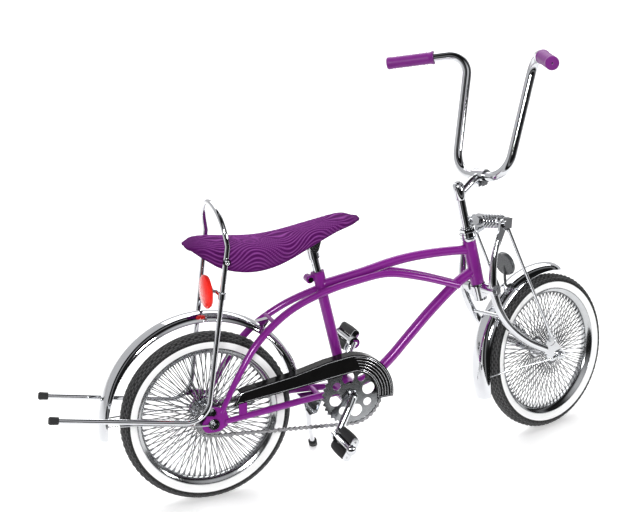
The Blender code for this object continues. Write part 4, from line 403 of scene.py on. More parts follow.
def solid(name, shape):
    """An object made from a bmesh, with its faces pointing out."""
    bmesh.ops.recalc_face_normals(shape, faces=shape.faces)
    if shape.calc_volume(signed=True) < 0:
        bmesh.ops.reverse_faces(shape, faces=shape.faces)
    mesh = bpy.data.meshes.new(name)
    shape.to_mesh(mesh)
    shape.free()
    return linked(name, mesh)


def joined(parts):
    """One mesh from several separate ones."""
    whole = bmesh.new()
    for part in parts:
        whole.from_mesh(part.data)
        bpy.data.objects.remove(part, do_unlink=True)
    mesh = bpy.data.meshes.new("joined")
    whole.to_mesh(mesh)
    whole.free()
    return linked("joined", mesh)


def combined(base, adds=(), cuts=()):
    """One mesh from a base shape, the shapes welded to it and those cut out of it."""
    for operation, others in (("UNION", adds), ("DIFFERENCE", cuts)):
        for other in others:
            step = base.modifiers.new(operation.title(), "BOOLEAN")
            step.operation = operation
            step.solver = "EXACT"
            step.object = other
    graph = bpy.context.evaluated_depsgraph_get()
    mesh = bpy.data.meshes.new_from_object(base.evaluated_get(graph))
    base.modifiers.clear()
    base.data = mesh
    for other in (*adds, *cuts):
        bpy.data.objects.remove(other, do_unlink=True)
    return base


def polar(centre, radius, degrees):
    """A point at an angle and a distance from a centre, in a plane."""
    a = math.radians(degrees)
    return centre[0] + radius * math.cos(a), centre[1] + radius * math.sin(a)


def arc(centre, radius, start, end, steps):
    """Points of a circular arc in a plane, with angles in degrees."""
    return [polar(centre, radius, start + (end - start) * i / steps) for i in range(steps + 1)]


def circle(centre, radius, sides):
    """Points of a closed circle in a plane."""
    return arc(centre, radius, 0, 360 - 360 / (sides * FINE), sides * FINE - 1)


def bent_path(corners, radii, steps=5):
    """Straight runs between corners, each inner corner rounded to its bend radius."""
    steps *= FINE
    corners = [Vector(c) for c in corners]
    points = [corners[0]]
    for before, corner, after, radius in zip(corners, corners[1:], corners[2:], radii):
        back = (before - corner).normalized()
        ahead = (after - corner).normalized()
        half = back.angle(ahead) / 2
        reach = radius / math.tan(half)
        centre = corner + (back + ahead).normalized() * (radius / math.sin(half))
        first = corner + back * reach - centre
        last = corner + ahead * reach - centre
        sweep_angle = first.angle(last)
        axis = first.cross(last).normalized()
        for i in range(steps + 1):
            points.append(centre + Matrix.Rotation(sweep_angle * i / steps, 3, axis) @ first)
    points.append(corners[-1])
    return points


def spline_path(knots, per_span=4):
    """A smooth curve through every knot."""
    per_span *= FINE
    knots = [Vector(k) for k in knots]
    ends = [2 * knots[0] - knots[1], *knots, 2 * knots[-1] - knots[-2]]
    points = []
    for a, b, c, d in zip(ends, ends[1:], ends[2:], ends[3:]):
        for i in range(per_span):
            t = i / per_span
            points.append(0.5 * (2 * b + (c - a) * t + (2 * a - 5 * b + 4 * c - d) * t**2
                                 + (3 * b - a - 3 * c + d) * t**3))
    points.append(knots[-1])
    return points


def path_frames(points, closed=False):
    """A side and a top vector at each point, which turn along the path as little as they can."""
    count = len(points)
    tangents = []
    for i in range(count):
        ahead = points[(i + 1) % count] if closed or i < count - 1 else points[i]
        behind = points[i - 1] if closed or i else points[i]
        tangents.append((ahead - behind).normalized())
    helper = Vector((0, 1, 0)) if abs(tangents[0].y) < 0.9 else Vector((1, 0, 0))
    side = helper - tangents[0] * helper.dot(tangents[0])
    frames = []
    for tangent in tangents:
        side = (side - tangent * side.dot(tangent)).normalized()
        frames.append((side, tangent.cross(side)))
    return frames


def skin_between(shape, rows, closed):
    """Four-sided faces between rows of vertices of equal count, and end faces unless the rows close."""
    pairs = list(zip(rows, rows[1:]))
    if closed:
        pairs.append((rows[-1], rows[0]))
    for low, high in pairs:
        for i in range(len(low)):
            j = (i + 1) % len(low)
            shape.faces.new((low[i], low[j], high[j], high[i]))
    if not closed:
        shape.faces.new(rows[0])
        shape.faces.new(rows[-1])


def loft(rings, closed=False):
    """A skin over rings of points of equal count, capped at both ends unless it closes on itself."""
    skin = bmesh.new()
    skin_between(skin, [[skin.verts.new(p) for p in ring] for ring in rings], closed)
    return skin


def rod(points, radius, sides=10, closed=False):
    """A round bar along a path; the radius may be one value or one for each point."""
    points = [Vector(p) for p in points]
    radii = radius if isinstance(radius, (list, tuple)) else [radius] * len(points)
    sides *= FINE
    rings = []
    for point, (side, top), r in zip(points, path_frames(points, closed), radii):
        turn = [2 * math.pi * (i + 0.5) / sides for i in range(sides)]
        rings.append([point + side * (r * math.cos(a)) + top * (r * math.sin(a)) for a in turn])
    return solid("rod", loft(rings, closed))


def turned(profile, sides=24, matrix=None, ring=False):
    """A revolved shape about Y. The profile lists (radius, y); a ring's profile closes on itself."""
    shape = bmesh.new()
    sides *= 1 if sides == 6 else FINE
    turn = [2 * math.pi * i / sides for i in range(sides)]
    skin_between(shape, [[shape.verts.new((r * math.sin(a), y, -r * math.cos(a))) for a in turn]
                         for r, y in profile], ring)
    if matrix:
        shape.transform(matrix)
    return solid("turned", shape)


def plate(outline, low, high, holes=(), matrix=None):
    """A flat plate from an outline in X and Z, between two values of Y, with holes through it."""
    shape = bmesh.new()
    edges = []
    for loop in (outline, *holes):
        row = [shape.verts.new((x, low, z)) for x, z in loop]
        edges += [shape.edges.new((a, b)) for a, b in zip(row, row[1:] + row[:1])]
    bmesh.ops.triangle_fill(shape, use_beauty=True, use_dissolve=not holes, edges=edges)
    grown = bmesh.ops.extrude_face_region(shape, geom=list(shape.faces))
    lifted = [v for v in grown["geom"] if isinstance(v, bmesh.types.BMVert)]
    bmesh.ops.translate(shape, verts=lifted, vec=(0, high - low, 0))
    if matrix:
        shape.transform(matrix)
    return solid("plate", shape)


def along(start, end):
    """A matrix that puts the Y axis of a turned shape along a line from its start."""
    line = Vector(end) - Vector(start)
    return Matrix.Translation(Vector(start)) @ line.to_track_quat("Y", "Z").to_matrix().to_4x4()


def cylinder(start, end, radius, sides=16):
    """A solid round bar from one point to another."""
    length = (Vector(end) - Vector(start)).length
    return turned([(radius, 0), (radius, length)], sides, along(start, end))


def tube(start, end, outer, inner, sides=20):
    """A hollow round bar from one point to another."""
    length = (Vector(end) - Vector(start)).length
    profile = [(outer, 0), (outer, length), (inner, length), (inner, 0)]
    return turned(profile, sides, along(start, end), ring=True)


def hexagon(start, end, across):
    """A hexagonal bar, as for a nut or a bolt head, given its size across the flats."""
    return cylinder(start, end, across / math.sqrt(3), 6)


def dome_nut(start, end, across):
    """A hexagonal base under a round dome, from its seat to its tip."""
    start, end = Vector(start), Vector(end)
    length = (end - start).length
    base = hexagon(start, start.lerp(end, 0.4), across)
    r = across * 0.44
    dome = [(r, 0.3 * length), (r, 0.6 * length), (0.75 * r, 0.87 * length), (0.25 * r, length)]
    return combined(base, [turned(dome, 8, along(start, end))])


def crossbar(x, z, start, end, radius, sides=8):
    """A cylinder straight across the bicycle, between two values of Y."""
    return cylinder((x, start, z), (x, end, z), radius, sides)


def cross_hexagon(x, z, start, end, across):
    """A nut or a bolt head on a crossbar."""
    return hexagon((x, start, z), (x, end, z), across)


def upright(low, high, radius, sides=14):
    """A cylinder on the steering axis, between two heights."""
    return cylinder((0, 0, low), (0, 0, high), radius, sides)


def slab(outline, side, near, far):
    """A plate on one side of the bicycle, between two distances from its middle plane."""
    return plate(outline, *sorted((side * near, side * far)))


def mirrored(points):
    """The same points on the other side of the middle plane."""
    return [(x, -y, z) for x, y, z in points]


def wires(runs, sides=6):
    """Many short straight wires in one mesh; each run is its start, end and two radii."""
    skin = bmesh.new()
    for start, end, r0, r1 in runs:
        line = (end - start).normalized()
        side = line.orthogonal().normalized()
        top = line.cross(side)
        turn = [2 * math.pi * i / sides for i in range(sides)]
        low, high = ([skin.verts.new(at + side * (r * math.cos(a)) + top * (r * math.sin(a))) for a in turn]
                     for at, r in ((start, r0), (end, r1)))
        for i in range(sides):
            skin.faces.new((low[i], low[(i + 1) % sides], high[(i + 1) % sides], high[i]))
        skin.faces.new(low[::-1])
        skin.faces.new(high)
    return solid("wires", skin)


def inset(outline, distance):
    """A closed outline moved inwards by a distance."""
    count = len(outline)
    area = sum(a[0] * b[1] - b[0] * a[1] for a, b in zip(outline, outline[1:] + outline[:1]))
    way = 1 if area > 0 else -1
    moved = []
    for i, (x, z) in enumerate(outline):
        back = Vector((x - outline[i - 1][0], z - outline[i - 1][1])).normalized()
        ahead = Vector((outline[(i + 1) % count][0] - x, outline[(i + 1) % count][1] - z)).normalized()
        mean = Vector((-(back.y + ahead.y), back.x + ahead.x)).normalized() * way
        spread = max(mean.dot(Vector((-ahead.y, ahead.x)) * way), 0.45)
        moved.append((x + mean.x * distance / spread, z + mean.y * distance / spread))
    return moved


def finished(made, name, finish, parent, smooth_angle=40.0, node=None, extra=()):
    """Names a piece, gives it its finish and notes the CAD node it stands for."""
    made.name = name
    made.data.name = name
    if not extra:
        made.data.materials.clear()
    for each in (finish, *extra):
        made.data.materials.append(FINISHES[each])
    made.data.shade_smooth()
    made.data.set_sharp_from_angle(angle=math.radians(smooth_angle))
    made.parent = parent
    MADE.append((made, node))
    return made


def place(made, name, finish, parent, smooth_angle=40.0):
    """A finer piece in place of the CAD node of the same name."""
    return finished(made, name + "_piece", finish, parent, smooth_angle, name)


def beside(made, name, finish, parent, node, smooth_angle=40.0):
    """A piece that adds detail beside a CAD node and moves with it."""
    made["beside"] = node
    return finished(made, name, finish, parent, smooth_angle)


def tyre_section():
    """The outline that touches the ground, as radius and sideways offset, down one side and up the other."""
    seat = RIM_RADIUS - RIM_DEPTH / 2 + GAP
    wall = RIM_HALF_WIDTH - RIM_FLANGE - GAP
    half = [(seat, wall - 0.001), (RIM_RADIUS + 0.012, TYRE_HALF_WIDTH),
            (WHEEL_RADIUS - 0.009, TYRE_HALF_WIDTH * 0.86), (WHEEL_RADIUS, TYRE_HALF_WIDTH * 0.28)]
    return half + [(r, -y) for r, y in reversed(half)]


def contact_reach(tilt):
    """How far a tyre reaches below its centre when its plane is tilted from upright."""
    return max(r * math.cos(tilt) + y * math.sin(tilt) for r, y in tyre_section())


# The fork's directions, and the drop that puts the front tyre on the ground
STEER_AXIS = Vector((-math.cos(HEAD_ANGLE), 0, math.sin(HEAD_ANGLE)))
FORK_FORWARD = Vector((math.sin(HEAD_ANGLE), 0, math.cos(HEAD_ANGLE)))
GROUND_UP = Vector((0, -math.sin(LEAN), math.cos(LEAN)))
GROUND_DROP = contact_reach(LEAN) - AXLE_HEIGHT * math.cos(LEAN)


def front_axle_drop():
    """Height of the front axle along the steering axis, found from where its tyre meets the ground."""
    steered = Matrix.Rotation(STEER, 3, STEER_AXIS)
    base = Vector((WHEELBASE_TO_AXIS, 0, AXLE_HEIGHT)) + steered @ FORK_FORWARD * FORK_OFFSET
    tilt = math.asin(abs((steered @ ACROSS).dot(GROUND_UP)))
    wanted = contact_reach(tilt) - GROUND_DROP
    return (wanted - base.dot(GROUND_UP)) / STEER_AXIS.dot(GROUND_UP)


FRONT_AXLE = (FORK_OFFSET, front_axle_drop())
FRONT_FENDER_CENTRE = (FRONT_AXLE[0] - 0.0075, FRONT_AXLE[1] - PIVOT_Z + 0.0015)
SEAT_UP = Vector((-math.cos(SEAT_ANGLE), 0, math.sin(SEAT_ANGLE)))
BOTTOM_BRACKET = Vector((BB_X, 0, BB_Z))


def seat_axis_point(distance):
    """A point on the seat tube's axis, measured up from the bottom bracket."""
    return BOTTOM_BRACKET + SEAT_UP * distance


def seat_bar(low, high, radius):
    """A cylinder along the seat tube's axis, between two distances from the bottom bracket."""
    return cylinder(seat_axis_point(low), seat_axis_point(high), radius, 12)


def head_point(height):
    """A point on the steering axis in the bicycle's frame, measured up from the rear axle's height."""
    return Vector((WHEELBASE_TO_AXIS, 0, AXLE_HEIGHT)) + STEER_AXIS * height


def head_bar(low, high, radius):
    """A cylinder along the head tube's axis."""
    return cylinder(head_point(low), head_point(high), radius, 14)


def tapered_tube(knots, side, per_span, full_radius):
    """A frame tube on one side, which thins towards its end at the rear dropout."""
    path = spline_path([(x, side * y, z) for x, y, z in knots], per_span)
    radii = [min(full_radius, STAY_END_RADIUS + STAY_TAPER * max(p.x - knots[-1][0], 0)) for p in path]
    return rod(path, radii, 8)


def twin_tube(side):
    """One of the two long tubes from the down tube, past the seat tube, to a rear dropout."""
    beside_seat_tube = SEAT_TUBE_RADIUS + TWIN_TUBE_RADIUS - 0.002
    knots = [(0.628, 0.013, 0.424), (0.53, 0.0155, 0.4575), (0.445, 0.0175, 0.477), (0.372, 0.019, 0.4715),
             (0.283, beside_seat_tube, 0.4535), (0.195, 0.027, 0.4215), (0.118, 0.042, 0.368),
             (0.064, 0.052, 0.298), (0.02, DROPOUT_MIDDLE, 0.222)]
    return tapered_tube(knots, side, 2, TWIN_TUBE_RADIUS)


def chainstay(side):
    """The low tube from the bottom bracket to a rear dropout."""
    knots = [(BB_X - 0.012, 0.0225, BB_Z + 0.0015), (0.292, 0.0248, 0.2095), (0.25, 0.0315, 0.2105),
             (0.15, 0.046, 0.2065), (0.026, DROPOUT_MIDDLE, 0.199)]
    return tapered_tube(knots, side, 1, CHAINSTAY_RADIUS)


def dropout(side):
    """A rear dropout plate with its closed axle slot and the eyelet for the backrest hoop."""
    z = AXLE_HEIGHT
    outline = arc((-0.009, z - 0.002), 0.0175, 120, 280, 6)
    outline += [(0.012, z - 0.019), (0.03, z - 0.009), (0.036, z + 0.006), (0.03, z + 0.028),
                (0.018, z + 0.036)]
    outline += arc(HOOP_EYELET, 0.0085, 60, 200, 5)
    slot_radius = AXLE_RADIUS + 3 * GAP
    slot = arc((-0.006, z), slot_radius, 90, 270, 6) + arc((0.002, z), slot_radius, -90, 90, 6)
    low, high = sorted((side * REAR_DROPOUT_HALF_GAP, side * DROPOUT_FACE))
    return plate(outline, low, high, [slot])


def make_frame(parent):
    """All the welded tubes of the frame, with its dropouts and bridges."""
    top_knots = [head_point(HEAD_TUBE_TOP - 0.024), (0.585, 0, 0.508), (0.516, 0, 0.506), (0.455, 0, 0.4985),
                 (0.385, 0, 0.484), seat_axis_point(SEAT_TUBE_LENGTH - 0.034)]
    down_knots = [head_point(HEAD_TUBE_BOTTOM + 0.034), (0.625, 0, 0.424), (0.558, 0, 0.3672),
                  (0.5, 0, 0.311), (0.452, 0, 0.264), (0.405, 0, 0.229),
                  BOTTOM_BRACKET + Vector((0.012, 0, 0.004))]
    tab = plate([(0.06, 0.203), (0.078, 0.203), (0.08, 0.24), (0.074, 0.246), (0.066, 0.246), (0.06, 0.24)],
                -0.0575, -0.0545)
    adds = [
        head_bar(HEAD_TUBE_BOTTOM, HEAD_TUBE_TOP, HEAD_TUBE_RADIUS),
        rod(spline_path(top_knots, 2), TOP_TUBE_RADIUS, 8),
        rod(spline_path(down_knots, 2), DOWN_TUBE_RADIUS, 8),
        twin_tube(-1),
        twin_tube(1),
        crossbar(BB_X, BB_Z, -BB_HALF_WIDTH, BB_HALF_WIDTH, BB_RADIUS, 18),
        chainstay(-1),
        chainstay(1),
        dropout(-1),
        dropout(1),
        crossbar(*FENDER_BRIDGE, -0.033, 0.033, 0.005),
        crossbar(0.262, 0.2105, -0.031, 0.031, 0.0065),
        tab,
    ]
    cuts = [
        head_bar(HEAD_TUBE_BOTTOM - 0.02, HEAD_TUBE_TOP + 0.02, HEAD_TUBE_BORE),
        crossbar(BB_X, BB_Z, -0.06, 0.06, BB_BORE, 18),
        seat_bar(SEAT_TUBE_LENGTH - 0.11, SEAT_TUBE_LENGTH + 0.02, SEAT_POST_RADIUS + GAP),
    ]
    tubes = combined(seat_bar(0, SEAT_TUBE_LENGTH, SEAT_TUBE_RADIUS), adds, cuts)
    place(tubes, "frame", "purple_paint", parent)


def make_seat_post(parent):
    """The seat post, the frame's clamp and bolt round it, and the saddle's clamp on its top."""
    place(seat_bar(SEAT_TUBE_LENGTH - 0.1, SEAT_POST_TOP, SEAT_POST_RADIUS), "seat_post", "chrome", parent)

    clamp_low = SEAT_TUBE_LENGTH - 0.019
    ring = tube(seat_axis_point(clamp_low), seat_axis_point(SEAT_TUBE_LENGTH - 0.001),
                SEAT_TUBE_RADIUS + 0.0035, SEAT_TUBE_RADIUS + GAP, 12)
    middle = seat_axis_point(SEAT_TUBE_LENGTH - 0.01)
    back = SEAT_UP.cross(ACROSS).normalized()
    lug = middle + back * (SEAT_TUBE_RADIUS + 0.011)
    at = (lug.x, lug.z)
    ears = crossbar(*at, -0.01, 0.01, 0.0095, 12)
    web = cylinder(middle + back * (SEAT_TUBE_RADIUS + 0.0015), lug, 0.0085, 8)
    slit = plate([(-0.03, -0.02), (0.0, -0.02), (0.0, 0.02), (-0.03, 0.02)], -0.0012, 0.0012,
                 matrix=Matrix.Translation(middle + back * (SEAT_TUBE_RADIUS - 0.004)))
    bolt_hole = crossbar(*at, -0.02, 0.02, 0.0036)
    bore = seat_bar(clamp_low - 0.01, SEAT_TUBE_LENGTH + 0.01, SEAT_TUBE_RADIUS + GAP)
    place(combined(ring, [ears, web], [slit, bolt_hole, bore]), "seat_clamp", "purple_paint", parent)

    head = crossbar(*at, -0.0155, -0.0103, 0.0062, 10)
    nut = cross_hexagon(*at, 0.0103, 0.015, 0.01)
    place(combined(crossbar(*at, -0.0125, 0.0125, 0.003), [head, nut]), "seat_clamp_bolt", "chrome", parent)

    collar = tube(seat_axis_point(SEAT_POST_TOP - 0.02), seat_axis_point(SEAT_POST_TOP + 0.0055),
                  SEAT_POST_RADIUS + 0.004, SEAT_POST_RADIUS + GAP, 12)
    eye = seat_axis_point(SEAT_POST_TOP + SADDLE_EYE_RISE)
    barrel = crossbar(eye.x, eye.z, -0.02, 0.02, 0.0085, 10)
    washers = [crossbar(eye.x, eye.z, s * 0.019, s * 0.0235, 0.011, 12) for s in (-1, 1)]
    relief = seat_bar(SEAT_POST_TOP - 0.03, SEAT_POST_TOP + GAP, SEAT_POST_RADIUS + 2 * GAP)
    place(combined(collar, [barrel, *washers], [relief]), "saddle_clamp", "chrome", parent)


def blend_values(position, stations):
    """A smooth value at a position, from (position, value) stations."""
    places = [s[0] for s in stations]
    values = [s[1] for s in stations]
    i = int(np.clip(np.searchsorted(places, position) - 1, 0, len(places) - 2))
    t = (position - places[i]) / (places[i + 1] - places[i])
    t = min(max(t, 0.0), 1.0)
    slope = []
    for k in (i, i + 1):
        a, b = max(k - 1, 0), min(k + 1, len(places) - 1)
        slope.append((values[b] - values[a]) / (places[b] - places[a]))
    step = places[i + 1] - places[i]
    return ((2 * t**3 - 3 * t**2 + 1) * values[i] + (t**3 - 2 * t**2 + t) * step * slope[0]
            + (-2 * t**3 + 3 * t**2) * values[i + 1] + (t**3 - t**2) * step * slope[1])


def seat_section(x):
    """A section of the cushion: domed on top, drawn in at the sides and rolled under at the skirt."""
    half = blend_values(x, SEAT_WIDTHS)
    crown = blend_values(x, SEAT_CROWN)
    skirt = blend_values(x, SEAT_SKIRT)
    height = crown - skirt
    row = []
    for i in range(SEAT_POINTS):
        s = 2 * i / (SEAT_POINTS - 1) - 1
        a = abs(s)
        if a < 0.55:
            t = a / 0.55
            y = half * 0.97 * math.sin(t * math.pi / 2)
            z = crown - height * 0.3 * (1 - math.cos(t * math.pi / 2))
        else:
            t = (a - 0.55) / 0.45
            y = half * (0.97 + 0.03 * math.sin(math.pi * min(t * 1.6, 1)) - 0.11 * t**2)
            z = crown - height * (0.3 + 0.7 * t)
        row.append(Vector((0, math.copysign(y, s), z)))
    return row, skirt


def rib_row(x, fade):
    """One section of the cushion with the sewn ribs, whose seams run along the seat in long waves, and how
    much painted highlight each point gets along the ribs' crests.
    """
    flat, skirt = seat_section(x)
    middle = SEAT_POINTS // 2
    reach = [0.0] * SEAT_POINTS
    for way in (1, -1):
        for i in range(middle + way, middle + way * (middle + 1), way):
            reach[i] = reach[i - way] + (flat[i] - flat[i - way]).length
    wave = math.cos(2 * math.pi * (x - WAVE_CREST_X) / WAVE_LENGTH)
    ring = []
    crests = []
    for i, point in enumerate(flat):
        before, after = flat[max(i - 1, 0)], flat[min(i + 1, SEAT_POINTS - 1)]
        run = (after - before).normalized()
        normal = Vector((0, -run.z, run.y))
        sway = WAVE_HEIGHT * min(reach[i] / 0.03, 1.0) * wave
        puff = abs(math.sin(math.pi * (reach[i] + sway) / RIB_PITCH))
        hem = min(1.0, 6.0 * (1 - abs(2 * i / (SEAT_POINTS - 1) - 1)))
        ring.append(Vector((x, point.y, point.z)) + normal * (RIB_RISE * fade * hem * (puff**1.6 - 0.4)))
        # Painted highlight along each rib's crest
        crests.append(fade * hem * puff**CREST_HIGHLIGHT_SHARPNESS)
    half = abs(ring[-1].y)
    under = skirt + PAN_LIFT
    ring += [Vector((x, s * half, under + (0 if s else 0.004))) for s in (0.97, 0.88, 0, -0.88, -0.97)]
    return ring, crests + [0.0] * (len(ring) - SEAT_POINTS)


def make_seat(parent):
    """The padded velour cushion over the pan."""
    rings = []
    crests = []
    for k in range(SEAT_STATIONS):
        t = k / (SEAT_STATIONS - 1)
        x = SEAT_REAR + (SEAT_FRONT - SEAT_REAR) * (0.15 * (0.5 - 0.5 * math.cos(math.pi * t)) + 0.85 * t)
        ring, highlight_shares = rib_row(x, min(1.0, 9.0 * t, 9.0 * (1 - t)))
        rings.append(ring)
        crests.append(highlight_shares)
    ends = []
    for ring, way in ((rings[0], -1), (rings[-1], 1)):
        centre = sum(ring, Vector()) / len(ring)
        caps = []
        for turn in (25, 48, 68, 84):
            a = math.radians(turn)
            outward = Vector((way * END_ROUNDING * math.sin(a), 0, 0))
            caps.append([centre + (p - centre) * math.cos(a) + outward for p in ring])
        ends.append(caps)
    cushion = solid("cushion", loft(ends[0][::-1] + rings + ends[1]))
    crests = [crests[0]] * len(ends[0]) + crests + [crests[-1]] * len(ends[1])
    # The rib crests are painted lighter, a painted highlight
    painted_highlight_share = cushion.data.attributes.new("painted_highlight_share", "FLOAT", "POINT")
    painted_highlight_share.data.foreach_set("value", [top for row in crests for top in row])
    place(cushion, "seat_cushion", "velour", parent, 70.0)
    seat_pan(parent)


def seat_pan(parent):
    """The steel pan under the cushion, with two ears that hold the post's clamp between them."""
    flange = 0.005
    thick = 0.0016
    floor = []
    for k in range(33):
        x = 0.03 + (0.345 - 0.03) * k / 32
        half = blend_values(x, SEAT_WIDTHS) * 0.75
        top = blend_values(x, SEAT_SKIRT) + PAN_LIFT - 2 * GAP
        upper = [(-half, top - flange), (-half * 0.86, top - 0.0006), (0, top + 0.003),
                 (half * 0.86, top - 0.0006), (half, top - flange)]
        lower = [(half - thick, top - flange), (half * 0.84, top - 0.0006), (0, top + 0.003),
                 (-half * 0.84, top - 0.0006), (-half + thick, top - flange)]
        floor.append([Vector((x, y, z)) for y, z in upper + [(y, z - thick) for y, z in lower]])
    eye = seat_axis_point(SEAT_POST_TOP + SADDLE_EYE_RISE)
    outline = [(x, blend_values(x, SEAT_SKIRT) + PAN_LIFT - 2 * GAP - 0.0002)
               for x in (eye.x + 0.02, eye.x - 0.02)]
    outline += arc((eye.x, eye.z), SADDLE_EAR_RADIUS, 190, 350, 6)
    ears = [slab(outline, s, SADDLE_EAR_Y, SADDLE_EAR_Y + 0.0025) for s in (-1, 1)]
    place(combined(solid("pan", loft(floor)), ears), "seat_pan", "steel", parent)


def hoop_leg(z, side):
    """A point on the centre line of the hoop's upright leg at a height."""
    share = (z - HOOP_CORNER[1]) / (HOOP_SHOULDER[1] - HOOP_CORNER[1])
    x = HOOP_CORNER[0] + (HOOP_SHOULDER[0] - HOOP_CORNER[0]) * share
    return Vector((x, side * (HOOP_ROD_Y + (HOOP_LOOP_Y - HOOP_ROD_Y) * share), z))


def make_hoop(parent):
    """The backrest hoop, whose two legs bend back into wheelie rods with rubber end caps."""
    lower = hoop_leg(HOOP_CORNER[1], -1)
    tip = Vector((-0.343, -HOOP_ROD_Y, 0.2727))
    shoulder = hoop_leg(HOOP_SHOULDER[1], -1)
    legs = bent_path([tip, lower, shoulder], [0.05], 4)[:-1]
    loop = []
    steps = 48
    for i in range(steps + 1):
        a = math.pi * i / steps
        rise = math.sin(a) ** 0.8
        loop.append(Vector((shoulder.x - 0.01 * rise, -HOOP_LOOP_Y * math.cos(a),
                            shoulder.z + (HOOP_TOP_Z - shoulder.z) * rise)))
    hoop = rod(legs + loop + [Vector((p.x, -p.y, p.z)) for p in reversed(legs)], HOOP_RADIUS, 8)
    adds = []
    x, z = HOOP_EYELET
    foot = DROPOUT_FACE + GAP
    for side in (-1, 1):
        adds.append(slab(circle((x, z), 0.008, 10), side, foot, HOOP_ROD_Y - 0.005))
        adds.append(slab([(x, z - 0.007), (x - 0.028, z - 0.004), (x - 0.024, z + 0.008), (x, z + 0.007)],
                         side, foot + 0.006, HOOP_ROD_Y - 0.0025))
        adds.append(cross_hexagon(x, z, side * (HOOP_ROD_Y - 0.0055), side * (HOOP_ROD_Y + 0.001), 0.012))
        bar = hoop_leg(HOOP_BOLT_Z, side)
        adds.append(crossbar(bar.x, bar.z, bar.y, side * HOOP_SPACER_Y, 0.006, 10))
    place(combined(hoop, adds), "backrest_hoop", "chrome", parent)

    rod_line = (tip - lower).normalized()
    for side, label in SIDES:
        start = Vector((tip.x, side * HOOP_ROD_Y, tip.z)) - rod_line * 0.006
        end = start + rod_line * 0.0205
        length = (end - start).length
        profile = [(HOOP_RADIUS + 2 * GAP, 0), (0.0082, 0), (0.0088, length * 0.85), (0.007, length),
                   (0.001, length), (0.001, 0.0066), (HOOP_RADIUS + 2 * GAP, 0.0066)]
        cap = turned(profile, 10, along(start, end), ring=True)
        place(cap, "wheelie_cap_" + label, "rubber", parent)

    for side, label in SIDES:
        bar = hoop_leg(HOOP_BOLT_Z, side)
        face = bar.y + side * (HOOP_RADIUS + GAP)
        washer = crossbar(bar.x, bar.z, face, face + side * 0.0018, 0.0085, 10)
        nut = dome_nut((bar.x, face + side * 0.0012, bar.z), (bar.x, face + side * 0.0125, bar.z), 0.0115)
        place(combined(washer, [nut]), "hoop_nut_" + label, "chrome", parent)


def reflector_disc(matrix, radius, depth):
    """A round reflector: a shallow dished housing with a domed face towards +Y."""
    profile = [(radius * 0.92, -depth * 0.5), (radius, 0), (radius, depth * 0.35),
               (radius * 0.85, depth * 0.75), (radius * 0.25, depth)]
    return turned(profile, 20, matrix)


def make_reflectors(frame_parent, springer_parent):
    """The red reflector on its strap from the hoop, and the clear one on a stalk over the front fender."""
    centre = Vector((0.006, -0.036, 0.497))
    facing = Matrix.Translation(centre) @ Matrix.Rotation(math.radians(90), 4, "Z")
    place(reflector_disc(facing, 0.0375, 0.011), "rear_reflector", "red_lens", frame_parent)

    at_bar = hoop_leg(centre.z, -1)
    lean = (hoop_leg(HOOP_SHOULDER[1], -1) - hoop_leg(HOOP_CORNER[1], -1)).normalized()
    inner = HOOP_RADIUS + 0.0006
    ring = tube(at_bar - lean * 0.007, at_bar + lean * 0.007, HOOP_RADIUS + 0.0028, inner, 12)
    strap = rod([centre + Vector((0.01, 0, 0)), centre + Vector((0.02, -0.012, 0)),
                 at_bar + Vector((-0.001, 0.0085, 0))], 0.0042, 8)
    back = cylinder(centre + Vector((0.0058, 0, 0)), centre + Vector((0.0125, 0, 0)), 0.012, 12)
    bore = cylinder(at_bar - lean * 0.02, at_bar + lean * 0.02, inner, 12)
    place(combined(ring, [strap, back], [bore]), "reflector_bracket", "chrome", frame_parent)

    centre = Vector((0.098, 0, 0.237 - PIVOT_Z))
    facing = Matrix.Translation(centre) @ Matrix.Rotation(math.radians(-90), 4, "Z")
    x, z = polar(FRONT_FENDER_CENTRE, FRONT_FENDER_RADIUS + GAP, 110)
    stalk = rod([centre + Vector((-0.003, 0, -0.004)), (x, 0, z + 0.012), (x, 0, z + GAP)], 0.0034, 8)
    place(combined(reflector_disc(facing, 0.03, 0.01), [stalk]), "front_reflector", "clear_lens",
          springer_parent)


def fender_section(radius, angle, centre, flare, grow):
    """A curved sheet section in the wheel's radial plane, as an outer row and an inner row of points."""
    radial = (math.cos(angle), math.sin(angle))
    rows = []
    for skin in (0.0, FENDER_SHEET):
        row = []
        for i in range(17):
            s = 2 * i / 16 - 1
            half = (FENDER_HALF_WIDTH - skin * 0.6) * grow
            y = half * math.sin(s * math.pi / 2 * 0.97)
            drop = FENDER_CROWN * (1 - math.cos(s * math.pi / 2)) * grow
            r = radius + flare - skin - drop
            row.append(Vector((centre[0] + r * radial[0], y, centre[1] + r * radial[1])))
        rows.append(row)
    return rows[0] + rows[1][::-1]


def fender(radius, centre, start, end, flare, steps, nose=1.0):
    """A fender from one angle to another, in degrees, whose flared end turns up and narrows."""
    rings = []
    steps *= 5
    for k in range(steps + 1):
        t = k / steps
        angle = math.radians(start + (end - start) * t)
        near_flare = max(0.0, 1 - (1 - t) / 0.16)
        near_nose = nose * max(0.0, 1 - t / 0.08) ** 2
        grow = 1 - 0.1 * near_flare**2 - 0.22 * near_nose
        rings.append(fender_section(radius, angle, centre, flare * near_flare**2 - 0.006 * near_nose, grow))
    return solid("fender", loft(rings))


def wire_stay(name, parent, axle, y, half, eye_radius):
    """A wire stay from an eye on each end of the axle, joined across inside the fender."""
    wire = bent_path(half + mirrored(half)[::-1], [0.01, 0.05, 0.008, 0.008, 0.05, 0.01], 1)
    eyes = [slab(circle(axle, eye_radius, 10), s, y, y + STAY_EYE) for s in (-1, 1)]
    holes = [crossbar(*axle, s * (y - 0.005), s * (y + 0.007), AXLE_RADIUS + 3 * GAP) for s in (-1, 1)]
    place(combined(rod(wire, 0.0019, 4), eyes, holes), name, "chrome", parent)


